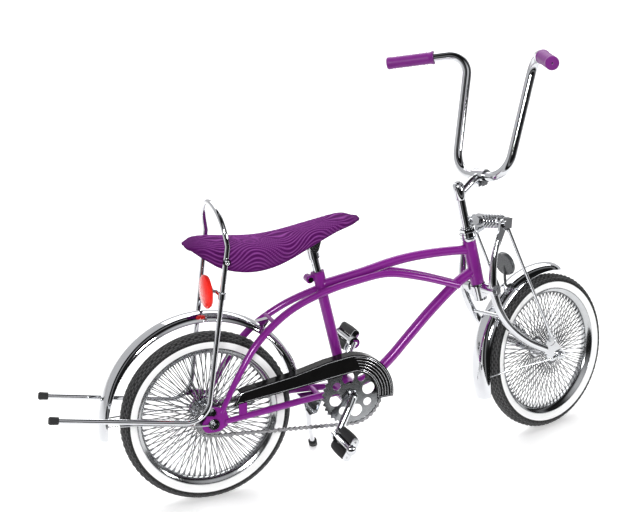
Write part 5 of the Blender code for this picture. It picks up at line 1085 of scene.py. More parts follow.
def axle_with_nuts(name, parent, axle, seat, past, nut_depth):
    """An axle with a nut on each end, seated at a distance from the middle plane."""
    bar = crossbar(*axle, -seat - past, seat + past, AXLE_RADIUS, 12)
    nuts = [cross_hexagon(*axle, s * seat, s * (seat + nut_depth), 0.015) for s in (-1, 1)]
    place(combined(bar, nuts), name, "chrome", parent)


def make_rear_fender(parent):
    """The rear fender with its lug to the frame's bridge, and its wire stay."""
    centre = (-0.007, AXLE_HEIGHT + 0.01)
    shell = fender(REAR_FENDER_RADIUS, centre, 10, 186, 0.004, 16, 0.0)
    sunk = REAR_FENDER_RADIUS - 0.0008
    x, z = FENDER_BRIDGE
    lug = plate([polar(centre, sunk, 50), (x - 0.0045, z - 0.005), (x - 0.006, z + 0.002),
                 polar(centre, sunk, 56)], -0.008, 0.008)
    place(combined(shell, [lug]), "rear_fender", "chrome", parent)

    z = AXLE_HEIGHT
    y = DROPOUT_FACE + GAP
    half = [(-0.0115, -y - 0.0022, z), (-0.033, -y - 0.0022, z + 0.002), (-0.17, -0.035, z + 0.017),
            (0.006 - REAR_FENDER_RADIUS, -0.026, z + 0.02)]
    wire_stay("rear_fender_stay", parent, (0, z), y, half, 0.013)


def make_guard(parent):
    """The chain guard: a tapering side plate with a hooked nose, and a flange turned in over the chain."""
    outer_r, inner_r = 0.1005, 0.06
    centre = (BB_X - 0.003, BB_Z)
    face = -0.059
    thick = 0.0015
    ridge = arc(centre, outer_r, -8, 98, 48)
    ridge += [(0.27, 0.3), (0.198, 0.283), (0.076, 0.264), (0.064, 0.26)]
    outline = ridge + [(0.048, 0.231), (0.062, 0.2345), (0.204, 0.25), (0.301, 0.262)]
    outline += arc(centre, inner_r, 82, -14, 36)
    bolt = cross_hexagon(0.072, 0.243, face - 0.0025, face + 0.001, 0.008)
    edge = []
    for i, (x, z) in enumerate(ridge):
        before = ridge[max(i - 1, 0)]
        after = ridge[min(i + 1, len(ridge) - 1)]
        run = Vector((after[0] - before[0], after[1] - before[1])).normalized()
        edge.append((x - run.y * thick, z + run.x * thick))
    flange = plate(ridge + edge[::-1], face + 0.0004, face + 0.026)
    post = seat_axis_point(0.09)
    strap = crossbar(post.x + 0.001, post.z, -SEAT_TUBE_RADIUS - GAP, face + 0.0008, 0.0035)
    place(combined(plate(outline, face, face + thick), [flange, strap, bolt]), "chain_guard", "black_enamel",
          parent)

    lines = [("guard_line", inset(outline, GUARD_EDGE))]
    for k in range(GUARD_STRIPES):
        radius = inner_r + (outer_r - inner_r) * (k + 1) / (GUARD_STRIPES + 1)
        lines.append((f"guard_stripe_{k}", arc(centre, radius, -6, 74 + 3 * k, 40)))
    for name, line in lines:
        wire = rod([(x, face + GUARD_LINE_SINK, z) for x, z in line], GUARD_LINE_RADIUS, 4,
                   name == "guard_line")
        beside(wire, name, "chrome", parent, "chain_guard")


def pitch_radius(teeth):
    """The radius at which a chain's pins lie round a sprocket."""
    return CHAIN_PITCH / (2 * math.sin(math.pi / teeth))


def sprocket(teeth, phase, holes, bore):
    """A toothed disc on the chain's line. The phase is the angle of a gap between two teeth."""
    outline = []
    for k in range(teeth):
        for share, reach in ((0, -ROOT_DEPTH), (0.5, TOOTH_HEIGHT)):
            turn = math.degrees(phase) + (k + share) * 360 / teeth
            outline.append(polar((0, 0), pitch_radius(teeth) + reach, turn))
    half = SPROCKET_THICKNESS / 2
    return plate(outline, CHAIN_Y - half, CHAIN_Y + half, [*holes, circle((0, 0), bore, 14)])


def chain_pins():
    """Places of the chain's pins round both sprockets, starting on top of the chainring."""
    ring_r = pitch_radius(RING_TEETH)
    cog_r = pitch_radius(COG_TEETH)
    run = Vector((BB_X, BB_Z - AXLE_HEIGHT))
    tilt = math.atan2(run.y, run.x)
    lean = math.asin((ring_r - cog_r) / run.length)
    straight = math.sqrt(run.length**2 - (ring_r - cog_r) ** 2)
    cog_arc = cog_r * (math.pi - 2 * lean)
    total = ring_r * (math.pi + 2 * lean) + cog_arc + 2 * straight
    top = tilt + math.pi / 2 + lean
    low = tilt - math.pi / 2 - lean

    def on_ring(angle):
        """A point where the chain lies on the chainring."""
        return Vector((BB_X + ring_r * math.cos(angle), BB_Z + ring_r * math.sin(angle)))

    def on_cog(angle):
        """A point where the chain lies on the cog."""
        return Vector((cog_r * math.cos(angle), AXLE_HEIGHT + cog_r * math.sin(angle)))

    pins = []
    for k in range(CHAIN_LINKS):
        s = total * k / CHAIN_LINKS
        if s < straight:
            pins.append(on_ring(top).lerp(on_cog(top), s / straight))
        elif s < straight + cog_arc:
            pins.append(on_cog(top + (s - straight) / cog_r))
        elif s < 2 * straight + cog_arc:
            pins.append(on_cog(low).lerp(on_ring(low), (s - straight - cog_arc) / straight))
        else:
            pins.append(on_ring(low + (s - 2 * straight - cog_arc) / ring_r))
    return pins


def gap_phase(centre):
    """The angle of the chain pin that lies furthest round a sprocket from the other one."""
    away = 1 if centre.x > BB_X / 2 else -1
    nearest = max(chain_pins(), key=lambda p: away * (p.x - centre.x) - abs(p.y - centre.y))
    return math.atan2(nearest.y - centre.y, nearest.x - centre.x)


def make_chain(parent):
    """The chain's own links: inner and outer plates by turns, with a roller at each pin."""
    pins = chain_pins()
    half = CHAIN_INNER_WIDTH / 2
    parts = []
    for k, (pin, after) in enumerate(zip(pins, pins[1:] + pins[:1])):
        heading = math.degrees(math.atan2(after.y - pin.y, after.x - pin.x))
        middle = (pin + after) / 2
        waist = Vector((pin.y - after.y, after.x - pin.x)).normalized() * CHAIN_WAIST
        outline = arc(after, CHAIN_PLATE_RADIUS, heading - 125, heading + 125, 10) + [tuple(middle + waist)]
        outline += arc(pin, CHAIN_PLATE_RADIUS, heading + 55, heading + 305, 10) + [tuple(middle - waist)]
        near = half + (0.0011 if k % 2 else 0.0)
        for side in (-1, 1):
            parts.append(plate(outline, *sorted((CHAIN_Y + side * near, CHAIN_Y + side * (near + 0.001)))))
        for radius, reach, sides in ((CHAIN_ROLLER_RADIUS, half, 5), (0.0017, half + 0.0027, 4)):
            parts.append(turned([(radius, -reach), (radius, reach)], sides,
                                Matrix.Translation((pin.x, CHAIN_Y, pin.y))))
    place(joined(parts), "chain", "steel", parent)


def make_crank(parent):
    """The one-piece crank and its chainring. The right arm points along +X."""
    arm = CRANK_ARM_Y
    half = [(CRANK_LENGTH, -arm - 0.001, 0), (0.03, -arm + 0.0125, 0), (0.0, -0.052, 0)]
    path = bent_path(half + [(-x, -y, z) for x, y, z in half[::-1]], [0.03, 0.01, 0.01, 0.03], 2)
    shares = [min(abs(point.x) / 0.03, 1.0) for point in path]
    bar = rod(path, [0.0108 * (1 - share) + CRANK_RADIUS * share for share in shares], 8)
    shoulder = abs(CHAIN_Y) - SPROCKET_THICKNESS / 2 - GAP
    adds = []
    for side in (-1, 1):
        x = -side * CRANK_LENGTH
        face = side * (arm + 0.001)
        adds.append(crossbar(x, 0, face - side * 0.008, face + side * 0.008, 0.0135, 12))
        adds.append(crossbar(x, 0, face, face + side * (PEDAL_LENGTH - 0.005), 0.0048))
        adds.append(crossbar(0, 0, side * 0.0355, side * shoulder, 0.0165, 14))
    place(combined(bar, adds), "crank", "chrome", parent)

    holes = []
    for k in range(4):
        for turn, reach, radius, sides in ((0, 0.0445, 0.01, 6), (45, 0.042, 0.0155, 8)):
            a = math.radians(90 * k + turn)
            holes.append(circle((reach * math.cos(a), reach * math.sin(a)), radius, sides))
    phase = gap_phase(Vector((BB_X, BB_Z))) - CRANK_ANGLE
    place(sprocket(RING_TEETH, phase, holes, 0.0116), "chainring", "plate_chrome", parent)


def pedal_block(side, low, high):
    """A rubber tread: a barrel with squared flanks."""
    rings = []
    for k in range(15):
        t = k / 14
        swell = 0.78 + 0.22 * math.sin(math.pi * t)**0.45
        ring = []
        for i in range(28):
            a = 2 * math.pi * i / 28
            x, z = (half * swell * math.copysign(abs(wave)**0.75, wave)
                    for half, wave in zip(PEDAL_BLOCK_HALF, (math.cos(a), math.sin(a))))
            ring.append(Vector((side * PEDAL_BLOCK_AT + x, low + (high - low) * t, z)))
        rings.append(ring)
    return solid("block", loft(rings))


def make_pedal(parent, side, label):
    """A pedal whose own Y axis is its spindle: a chrome cage and barrel, and two rubber treads."""
    start = side * (CRANK_ARM_Y + 0.001 + 0.008 + 0.0012)
    end = start + side * (PEDAL_LENGTH - 0.006)
    cheek = side * 0.0025
    pieces = [tube((0, start, 0), (0, end, 0), 0.0085, 0.0053, 10)]
    reach = 0.029
    outline = arc((reach - 0.009, 0), 0.009, -90, 90, 12) + arc((-reach + 0.009, 0), 0.009, 90, 270, 12)
    pieces += [plate(outline, *sorted((y, y + cheek))) for y in (start, end - cheek)]
    dome = [(0.0118, 0.0), (0.0118, 0.002), (0.0108, 0.005), (0.0082, 0.0075), (0.0045, 0.009),
            (0.001, 0.0095)]
    pieces.append(turned(dome, 12, along((0, end - side * 0.0002, 0), (0, end + side * 0.0098, 0))))
    pieces += [crossbar(0, z, start, end, 0.0022, 10) for z in (-0.0098, 0.0098)]
    pieces += [crossbar(s * PEDAL_BLOCK_AT, 0, start, end, 0.0026) for s in (-1, 1)]
    place(joined(pieces), "pedal_cage_" + label, "chrome", parent)
    low, high = start + cheek + side * GAP, end - cheek - side * GAP
    for s, where in ((-1, "rear"), (1, "front")):
        place(pedal_block(s, low, high), "pedal_rubber_" + where + "_" + label, "rubber", parent)


def make_brake_arm(parent):
    """The coaster brake arm on the left, strapped to the chainstay."""
    z = AXLE_HEIGHT
    outline = arc((0, z), 0.0135, 60, 250, 6)
    outline += [(0.02, z - 0.019), (0.116, z - 0.013), (0.128, z - 0.009), (0.128, z - 0.004),
                (0.1, z - 0.005), (0.03, z - 0.009), (0.012, z + 0.006)]
    arm = plate(outline, 0.0465, 0.049, [circle((0, z), AXLE_RADIUS + 3 * GAP, 8)])
    stay_at = Vector((0.116, 0.0497, 0.2045))
    along_stay = Vector((1, 0, 0))
    inner = CHAINSTAY_RADIUS + 0.0016
    strap = tube(stay_at - along_stay * 0.005, stay_at + along_stay * 0.005, inner + 0.0016, inner, 12)
    hold = plate([(0.112, z - 0.01), (0.12, z - 0.01), (0.12, z - 0.003), (0.112, z - 0.003)],
                 0.047, 0.053)
    keep = cylinder(stay_at - along_stay * 0.02, stay_at + along_stay * 0.02, inner, 12)
    place(combined(arm, [strap, hold], [keep]), "coaster_brake_arm", "chrome", parent)


def make_rear_cog(parent):
    """The driver's cog, on the rear wheel's axis."""
    disc = sprocket(COG_TEETH, gap_phase(Vector((0.0, AXLE_HEIGHT))), [], 0.01)
    sleeve = tube((0, CHAIN_Y - 0.0035, 0), (0, CHAIN_Y + 0.0018, 0), 0.015, AXLE_RADIUS + 2 * GAP, 12)
    place(combined(disc, [sleeve]), "rear_cog", "steel", parent)


def make_bottom_bracket(parent):
    """The two cups that hold the crank's bearings."""
    for side, label in SIDES:
        start = side * (BB_HALF_WIDTH - 0.006)
        lip = 0.0063 + GAP
        rim = 0.0078 + GAP
        profile = [(BB_BORE - 3 * GAP, 0), (BB_BORE - 3 * GAP, 0.0063), (BB_RADIUS - 0.001, lip),
                   (BB_RADIUS - 0.002, rim), (0.0185, rim), (0.0185, 0)]
        cup = turned(profile, 14, along((BB_X, start, BB_Z), (BB_X, 2 * start, BB_Z)), ring=True)
        place(cup, "bottom_bracket_cup_" + label, "chrome", parent)


def make_kickstand(frame_parent, stand_parent):
    """The bracket under the chainstays, and the leg and foot. The leg's objects are about its pivot."""
    cheek = [(0.226, 0.2015), (0.278, 0.2015), (0.27, 0.184), (0.26, 0.1625), (0.242, 0.16),
             (0.233, 0.174)]
    block = plate(cheek, -0.012, -0.001)
    ledge = plate([(0.226, 0.1985), (0.278, 0.1985), (0.278, 0.2015), (0.226, 0.2015)], -0.03, 0.03)
    pin_start = STAND_PIVOT - STAND_AXIS * 0.023
    pin_end = STAND_PIVOT + STAND_AXIS * 0.013
    pin = cylinder(pin_start, pin_end, 0.0045, 12)
    place(combined(block, [ledge, pin]), "kickstand_bracket", "chrome", frame_parent)

    knee = Vector((0.264, 0.056, 0.102))
    toe_line = (STAND_FOOT - knee).normalized()
    leg_end = STAND_FOOT - STAND_PIVOT - toe_line * 0.01
    route = [STAND_AXIS * 0.0005, knee - STAND_PIVOT, leg_end]
    leg = rod(bent_path(route, [0.05], 4), 0.0065, 8)
    hub = cylinder(-STAND_AXIS * 0.007, STAND_AXIS * 0.011, 0.0115, 12)
    bore = cylinder(-STAND_AXIS * 0.03, STAND_AXIS * 0.03, 0.0045 + GAP, 10)
    place(combined(leg, [hub], [bore]), "kickstand_leg", "chrome", stand_parent)

    sheath = cylinder(leg_end - toe_line * 0.014, leg_end + toe_line * 0.043, 0.0105, 14)
    socket = cylinder(leg_end - toe_line * 0.03, leg_end + toe_line * GAP, 0.0065 + 2 * GAP, 10)
    foot = combined(sheath, [], [socket])
    shape = bmesh.new()
    shape.from_mesh(foot.data)
    ground = GROUND_UP * -GROUND_DROP - STAND_PIVOT
    cut = bmesh.ops.bisect_plane(shape, geom=[*shape.verts, *shape.edges, *shape.faces], plane_co=ground,
                                 plane_no=-GROUND_UP, clear_outer=True)
    edges = [e for e in cut["geom_cut"] if isinstance(e, bmesh.types.BMEdge)]
    bmesh.ops.contextual_create(shape, geom=edges)
    bpy.data.objects.remove(foot, do_unlink=True)
    place(solid("foot", shape), "kickstand_foot", "rubber", stand_parent)


def make_headset(frame_parent, steering_parent):
    """Cups pressed into the head tube stay with the frame; the lock nut turns with the steerer."""
    bore = STEERER_RADIUS + 2 * GAP
    lip = HEAD_TUBE_RADIUS + 0.0005
    upper = [(bore, 0), (lip, 0), (0.0195, 0.005), (0.0195, 0.0085), (0.0165, 0.0105), (bore, 0.0105)]
    lower = [(bore, 0), (lip, 0), (0.0185, 0.0025), (0.0165, 0.004), (bore, 0.004)]
    for label, profile, seat, way in (("upper", upper, HEAD_TUBE_TOP, 1),
                                      ("lower", lower, HEAD_TUBE_BOTTOM, -1)):
        line = along(head_point(seat + way * GAP), head_point(seat + way * 0.02))
        place(turned(profile, 14, line, ring=True), "headset_cup_" + label, "chrome", frame_parent)

    base = BRACKET_BASE + BRACKET_HEIGHT + 2 * GAP
    nut = combined(hexagon((0, 0, base), (0, 0, base + 0.01), 0.032),
                   [upright(base, base + 0.003, 0.019)], [upright(base - 0.01, base + 0.02, bore)])
    place(nut, "headset_lock_nut", "chrome", steering_parent)


def spring_line(distance):
    """A point on the fork spring's axis, measured forward from its rear seat."""
    return SPRING_START + (SPRING_END - SPRING_START).normalized() * distance


def spring_ways():
    """The spring's axis and the direction across it that lies in the fork's middle plane."""
    axis = (spring_line(1) - spring_line(0)).normalized()
    return axis, ACROSS.cross(axis)


def make_fork_crown(parent):
    """The steerer with the crown, its pivot bolt, and the bracket that holds the spring's rear end."""
    pivot = (0, PIVOT_Z)
    race = upright(HEAD_TUBE_BOTTOM - 0.008, HEAD_TUBE_BOTTOM - 0.004 - 2 * GAP, 0.0185)
    boot = upright(0.185, HEAD_TUBE_BOTTOM - 0.007, 0.016)
    body = plate([(-0.04, 0.207), (-0.014, 0.19), (0.014, 0.19), (0.04, 0.207), (0.04, 0.2175),
                  (-0.04, 0.2175)], -0.0085, 0.0085, matrix=Matrix.Rotation(math.pi / 2, 4, "Z"))
    inner_face = LEG_Y - LEG_BOSS_HALF - GAP
    outer_face = LEG_Y + LEG_BOSS_HALF + GAP
    bosses = [crossbar(*pivot, s * 0.0215, s * inner_face, 0.0125, 12) for s in (-1, 1)]
    bolt = crossbar(*pivot, -LEG_Y - 0.0145, LEG_Y + 0.0145, BOLT_RADIUS)
    heads = [cross_hexagon(*pivot, s * outer_face, s * (outer_face + 0.007), 0.014) for s in (-1, 1)]
    bore = upright(0.245, STEERER_TOP + 0.02, STEERER_BORE, 16)
    crown = combined(upright(PIVOT_Z - 0.01, STEERER_TOP, STEERER_RADIUS, 16),
                     [race, boot, body, *bosses, bolt, *heads], [bore])
    place(crown, "fork_crown", "chrome", parent)

    base = BRACKET_BASE
    top = base + BRACKET_HEIGHT
    bore_radius = STEERER_RADIUS + 2 * GAP
    ring = tube((0, 0, base), (0, 0, top), 0.02, bore_radius, 14)
    tongue = plate([(0.015, base), (0.042, base + 0.002), (0.042, top + 0.002), (0.015, top)],
                   -0.015, 0.015)
    disc = cylinder(spring_line(-0.0075), spring_line(-0.0028), 0.0175, 14)
    slack = cylinder(spring_line(-0.03), spring_line(0.02), 0.0085, 10)
    relief = upright(base - 0.01, top + 0.01, bore_radius)
    place(combined(ring, [tongue, disc], [relief, slack]), "spring_bracket", "chrome", parent)


def make_spring(parent):
    """The fork's coil spring, one unbroken wire between its two seats."""
    _, top = spring_ways()
    per_turn = 24
    total = SPRING_TURNS * per_turn
    points = []
    for i in range(total + 1):
        a = 2 * math.pi * i / per_turn
        at = spring_line((SPRING_END - SPRING_START).length * i / total)
        points.append(at + ACROSS * (SPRING_RADIUS * math.cos(a)) + top * (SPRING_RADIUS * math.sin(a)))
    place(rod(points, SPRING_WIRE, 4), "fork_spring", "chrome", parent, 60.0)


def make_springer(parent):
    """The legs, struts and yoke, which turn about the crown's pivot bolt. Heights are from that pivot."""
    axle = (FRONT_AXLE[0], FRONT_AXLE[1] - PIVOT_Z)
    yoke = (YOKE_X, YOKE_Z - PIVOT_Z)
    foot = (0.153, 0.019 - PIVOT_Z)
    bolt_hole = BOLT_RADIUS + 2 * GAP
    for side, label in SIDES:
        path = spline_path([(x, side * LEG_Y, z - PIVOT_Z) for x, z in LEG_KNOTS], 2)
        radii = [0.0065 + 0.0035 * min(max((0.11 - p.z) / 0.09, 0), 1) for p in path]
        boss = crossbar(0, 0, side * (LEG_Y - LEG_BOSS_HALF), side * (LEG_Y + LEG_BOSS_HALF), 0.013, 10)
        top_plate = slab([(0.032, 0.101), (0.043, 0.095), *arc(yoke, 0.0115, -35, 145, 5)],
                         side, LEG_Y - LEG_PLATE_HALF, LEG_Y + LEG_PLATE_HALF)
        outline = [(0.116, 0.0 - PIVOT_Z), (0.135, 0.015 - PIVOT_Z), *arc(foot, 0.0085, 120, 10, 4),
                   *arc(axle, 0.0125, 30, -120, 6), (0.127, -0.012 - PIVOT_Z)]
        axle_plate = slab(outline, side, FRONT_DROPOUT_HALF_GAP, FRONT_PLATE_FACE)
        cuts = [
            crossbar(0, 0, side * 0.02, side * 0.09, bolt_hole),
            crossbar(*yoke, side * 0.02, side * 0.09, bolt_hole),
            crossbar(*axle, side * 0.02, side * 0.09, AXLE_RADIUS + 3 * GAP),
            crossbar(*foot, side * (FRONT_PLATE_FACE - 0.001), side * 0.09, 0.018, 16),
        ]
        leg = combined(rod(path, radii, 8), [boss, top_plate, axle_plate], cuts)
        place(leg, "fork_leg_" + label, "chrome", parent)
        place(strut(side, yoke, foot), "fork_strut_" + label, "chrome", parent)
    make_yoke(parent, yoke)


def strut(side, yoke, foot):
    """A straight strut, whose flattened ends sit outside the leg's top plate and the axle plate."""
    top_y = LEG_Y + LEG_PLATE_HALF + GAP
    foot_y = FRONT_PLATE_FACE + GAP
    bar = rod([(yoke[0] + 0.0055, side * (top_y + 0.0047), yoke[1] - 0.016),
               (0.101, side * (LEG_Y + 0.009), 0.01),
               (foot[0] - 0.0015, side * (foot_y + 0.004), foot[1] + 0.008)], 0.004, 8)
    top_eye = slab([(yoke[0] - 0.0075, yoke[1] - 0.004), (yoke[0] + 0.0055, yoke[1] - 0.026),
                    (yoke[0] + 0.0115, yoke[1] - 0.023), *arc(yoke, 0.0095, -20, 160, 6)],
                   side, top_y, top_y + STRUT_EYE)
    foot_eye = slab([(foot[0] - 0.01, foot[1] + 0.02), *arc(foot, 0.008, 180, 360, 6),
                     (foot[0] + 0.001, foot[1] + 0.021)], side, foot_y, foot_y + 0.0036)
    hole = crossbar(*yoke, side * 0.02, side * 0.09, BOLT_RADIUS + 2 * GAP)
    return combined(bar, [top_eye, foot_eye], [hole])


def make_yoke(parent, yoke):
    """A strap bent round the spring's front end, with a cross bolt at each ear, and the long spring bolt."""
    axis, up = spring_ways()
    lift = Vector((0, 0, -PIVOT_Z))
    front = spring_line((SPRING_END - SPRING_START).length + SPRING_WIRE + 4 * GAP) + lift
    ear_back = (Vector((YOKE_X - 0.011, 0, YOKE_Z)) + lift - front).dot(axis)
    half = YOKE_HALF_WIDTH
    thick = 0.004
    outer = [(ear_back, -half), (-0.008, -half), (0.0045, -half * 0.55), (thick, 0)]
    inner = [(ear_back, half - 0.0045), (-0.013, half - 0.0045), (-0.001, half * 0.5), (0.0, 0)]
    section = [point for row in (outer, inner) for point in row + [(a, -y) for a, y in row[2::-1]]]
    rings = [[front + axis * a + ACROSS * y + up * height for a, y in section]
             for height in (-0.0125, 0.0125)]
    bolts = []
    for s in (-1, 1):
        face = LEG_Y + LEG_PLATE_HALF + GAP + STRUT_EYE + GAP
        bolts.append(crossbar(*yoke, s * (half - 0.003), s * (face + 0.004), BOLT_RADIUS))
        bolts.append(crossbar(*yoke, s * (half - 0.004), s * (LEG_Y - LEG_PLATE_HALF - GAP), 0.009, 10))
        bolts.append(crossbar(*yoke, s * face, s * (face + 0.005), 0.008, 10))
    hole = cylinder(front - axis * 0.02, front + axis * 0.02, BOLT_RADIUS + 2 * GAP, 8)
    place(combined(solid("strap", loft(rings)), bolts, [hole]), "fork_yoke", "chrome", parent)

    shank = cylinder(spring_line(-0.011) + lift, front + axis * 0.014, BOLT_RADIUS, 8)
    nut = dome_nut(front + axis * (thick + GAP), front + axis * (thick + 0.0185), 0.015)
    head = hexagon(spring_line(-0.014) + lift, spring_line(-0.009) + lift, 0.018)
    place(combined(shank, [nut, head]), "spring_bolt", "chrome", parent)


def make_front_fender(parent):
    """The fender hangs from the legs by its bridge, and a wire stay holds its tail."""
    x, z = FRONT_AXLE[0], FRONT_AXLE[1] - PIVOT_Z
    shell = fender(FRONT_FENDER_RADIUS, FRONT_FENDER_CENTRE, 64, 186, 0.006, 12)
    reach = LEG_Y - 0.01 - 0.0005
    bridge = crossbar(*polar(FRONT_FENDER_CENTRE, FRONT_FENDER_RADIUS + 0.002, 132), -reach, reach, 0.005)
    place(combined(shell, [bridge]), "front_fender", "chrome", parent)

    y = FRONT_PLATE_FACE + GAP
    tail_x, tail_z = polar(FRONT_FENDER_CENTRE, FRONT_FENDER_RADIUS - 0.0125, 172)
    half = [(x - 0.011, -y - 0.0022, z), (x - 0.032, -y - 0.0022, z + 0.002),
            (x - 0.15, -0.035, z + 0.022), (tail_x, -0.0255, tail_z)]
    wire_stay("front_fender_stay", parent, (x, z), y, half, 0.0125)
    axle_with_nuts("front_axle", parent, (x, z), y + STAY_EYE + GAP, 0.012, 0.0075)


def make_stem(parent):
    """The quill, the arm to the handlebar's clamp, and their bolts."""
    sleeve = turned([(0.0118, 0), (0.0132, 0.002), (0.0132, 0.036), (0.0112, 0.0385)], 12,
                    along((0, 0, 0.441), (0, 0, 0.5)))
    x, z = BAR_CLAMP
    arm = rod(spline_path([(0.002, 0, 0.456), (0.022, 0, 0.462), (0.046, 0, 0.471), (x - 0.008, 0, z)], 2),
              0.0105, 10)
    hold = crossbar(x, z, -0.02, 0.02, BAR_RADIUS + 0.005, 12)
    lug = plate([(x - 0.012, z - 0.01), (x + 0.009, z - 0.012), (x + 0.008, z - 0.024),
                 (x - 0.01, z - 0.024)], -0.011, 0.011)
    bar_hole = crossbar(x, z, -0.04, 0.04, BAR_RADIUS + 3 * GAP, 12)
    bolt_z = z - 0.019
    shank = cylinder((x - 0.016, 0, bolt_z), (x + 0.013, 0, bolt_z), 0.0033, 10)
    head = hexagon((x + 0.0085, 0, bolt_z), (x + 0.0145, 0, bolt_z), 0.012)
    nut = hexagon((x - 0.017, 0, bolt_z), (x - 0.0105, 0, bolt_z), 0.012)
    top_bolt = hexagon((0, 0, 0.478), (0, 0, STEM_BOLT_TOP), 0.013)
    body = combined(upright(0.29, 0.445, QUILL_RADIUS, 12), [sleeve, arm, hold, lug], [bar_hole])
    place(combined(body, [shank, head, nut, top_bolt]), "stem", "chrome", parent)


def make_handlebar(parent):
    """The high-rise bar, with straight grip ends swept back, and its two grips."""
    end = Vector(BAR_END)
    line = (end - Vector(BAR_UPPER_CORNER)).normalized()
    left = [BAR_LOWER_CORNER, BAR_UPPER_CORNER, tuple(end - line * 0.003)]
    path = bent_path(mirrored(left)[::-1] + left, [0.046, 0.06, 0.06, 0.046], 4)
    place(rod(path, BAR_RADIUS, 10), "handlebar", "chrome", parent)

    length = GRIP_LENGTH
    bore = BAR_RADIUS + 3 * GAP
    profile = [(0.002, 0.0), (GRIP_RADIUS - 0.002, 0.0), (GRIP_RADIUS, 0.002)]
    for k in range(GRIP_BANDS):
        at = 0.01 + (length - 0.02) * (k + 0.5) / GRIP_BANDS
        profile += [(GRIP_RADIUS, at - 0.003), (GRIP_RADIUS - 0.001, at)]
    profile += [(GRIP_RADIUS, length - 0.006), (GRIP_RADIUS + 0.0014, length - 0.003),
                (GRIP_RADIUS + 0.0014, length), (bore, length), (bore, 0.0028), (0.002, 0.0028)]
    for side, label in SIDES:
        tip, corner = ((x, side * y, z) for x, y, z in (BAR_END, BAR_UPPER_CORNER))
        place(turned(profile, 10, along(tip, corner), ring=True), "grip_" + label, "grip_vinyl", parent)


def tread_depth(i, row):
    """How deep a point of the tread lies: bricks in rows, each row half a brick on from the last."""
    if row < TREAD_FROM:
        return 0.0
    band, groove = divmod(row - TREAD_FROM, 2)
    gap = (2 * i + TREAD_PITCH * band) % (2 * TREAD_PITCH) < 3
    return TREAD_DEPTH if gap or groove else 0.0


def tyre_piece():
    """A tyre with a cut tread and a band of white on each side. The tread's block tops are painted lighter
    than its grooves, as painted highlight and painted shade.
    """
    skin = bmesh.new()
    rows = []
    highlight_shares = []
    profile = TYRE_HALF + [(r, -y) for r, y in reversed(TYRE_HALF)]
    last = len(profile) - 1
    for k, (r, y) in enumerate(profile):
        row = min(k, last - k)
        verts = []
        for i in range(TYRE_SIDES):
            a = 2 * math.pi * i / TYRE_SIDES
            depth = tread_depth(i, row)
            # Block tops get the painted highlight; the grooves keep the dark base as painted shade, and the
            # black walls keep it too
            highlight_shares.append(1.0 if row >= TREAD_FROM and not depth else 0.12)
            verts.append(skin.verts.new(((r - depth) * math.sin(a), y, -(r - depth) * math.cos(a))))
        rows.append(verts)
    skin_between(skin, rows, True)
    for f, face in enumerate(skin.faces):
        k = f // TYRE_SIDES
        face.material_index = WHITE_FROM <= min(k, last - 1 - k) < WHITE_TO
    tyre = solid("tyre", skin)
    tyre.data.attributes.new("painted_highlight_share", "FLOAT", "POINT").data.foreach_set("value", highlight_shares)
    return tyre


def make_rim(name, parent):
    """A rolled rim with curled edges."""
    r, w = RIM_RADIUS, RIM_HALF_WIDTH
    inner = RIM_RADIUS - RIM_DEPTH
    half = [(r - RIM_DEPTH / 2, w - 0.003), (r - 0.0008, w - 0.0004), (r + 0.0004, w + 0.0001),
            (r, w + 0.0007), (r - 0.002, w + 0.0006), (r - 0.0036, w - 0.0012), (r - 0.008, w - 0.003),
            (inner + 0.0022, w * 0.56), (inner, w * 0.34)]
    place(turned(half + [(r, -y) for r, y in reversed(half)], WHEEL_SEGMENTS, ring=True), name, "rim_chrome",
          parent)


def make_wheel(prefix, parent, flange_radius, flange_y, hub_radius, hub_half):
    """Tyre with a white wall and a cut tread, rolled rim, hub, and wire spokes with their nipples."""
    finished(tyre_piece(), prefix + "_tyre_piece", "tread_rubber", parent, 35.0, prefix + "_tyre",
             ["white_rubber"])
    make_rim(prefix + "_rim", parent)

    edge = FLANGE_EDGE
    barrel = hub_radius * 0.78
    flank = [(AXLE_RADIUS + 2 * GAP, -hub_half), (hub_radius * 0.7, -hub_half), (barrel, -hub_half + 0.0015),
             (barrel, -flange_y - edge), (flange_radius - 0.0006, -flange_y - edge),
             (flange_radius, -flange_y - edge * 0.5), (flange_radius - 0.0006, -flange_y),
             (hub_radius * 1.15, -flange_y), (hub_radius, -flange_y + 0.004)]
    hub = turned(flank + [(r, -y) for r, y in reversed(flank)], 14, ring=True)
    place(hub, prefix + "_hub_and_spokes", "chrome", parent)

    runs = []
    for side in (-1, 1):
        for k in range(SPOKES_A_SIDE):
            a = 2 * math.pi * (k + (0.25 if side > 0 else 0.75)) / SPOKES_A_SIDE
            b = a + (SPOKE_TURN if k % 2 else -SPOKE_TURN)
            face = flange_y + edge * (1.2 if k % 2 else -0.2)
            foot, tip = (Vector((r * math.sin(turn), side * y, -r * math.cos(turn))) for r, turn, y in (
                (flange_radius - 0.0025, b, face), (RIM_RADIUS - RIM_DEPTH, a, RIM_HALF_WIDTH * 0.25)))
            line = (tip - foot).normalized()
            runs.append((foot, tip, SPOKE_RADIUS, SPOKE_RADIUS))
            runs.append((tip - line * 0.0085, tip + line * 0.0006, 0.0014, 0.0019))
    beside(wires(runs), prefix + "_spokes", "spoke_steel", parent, prefix + "_hub_and_spokes")


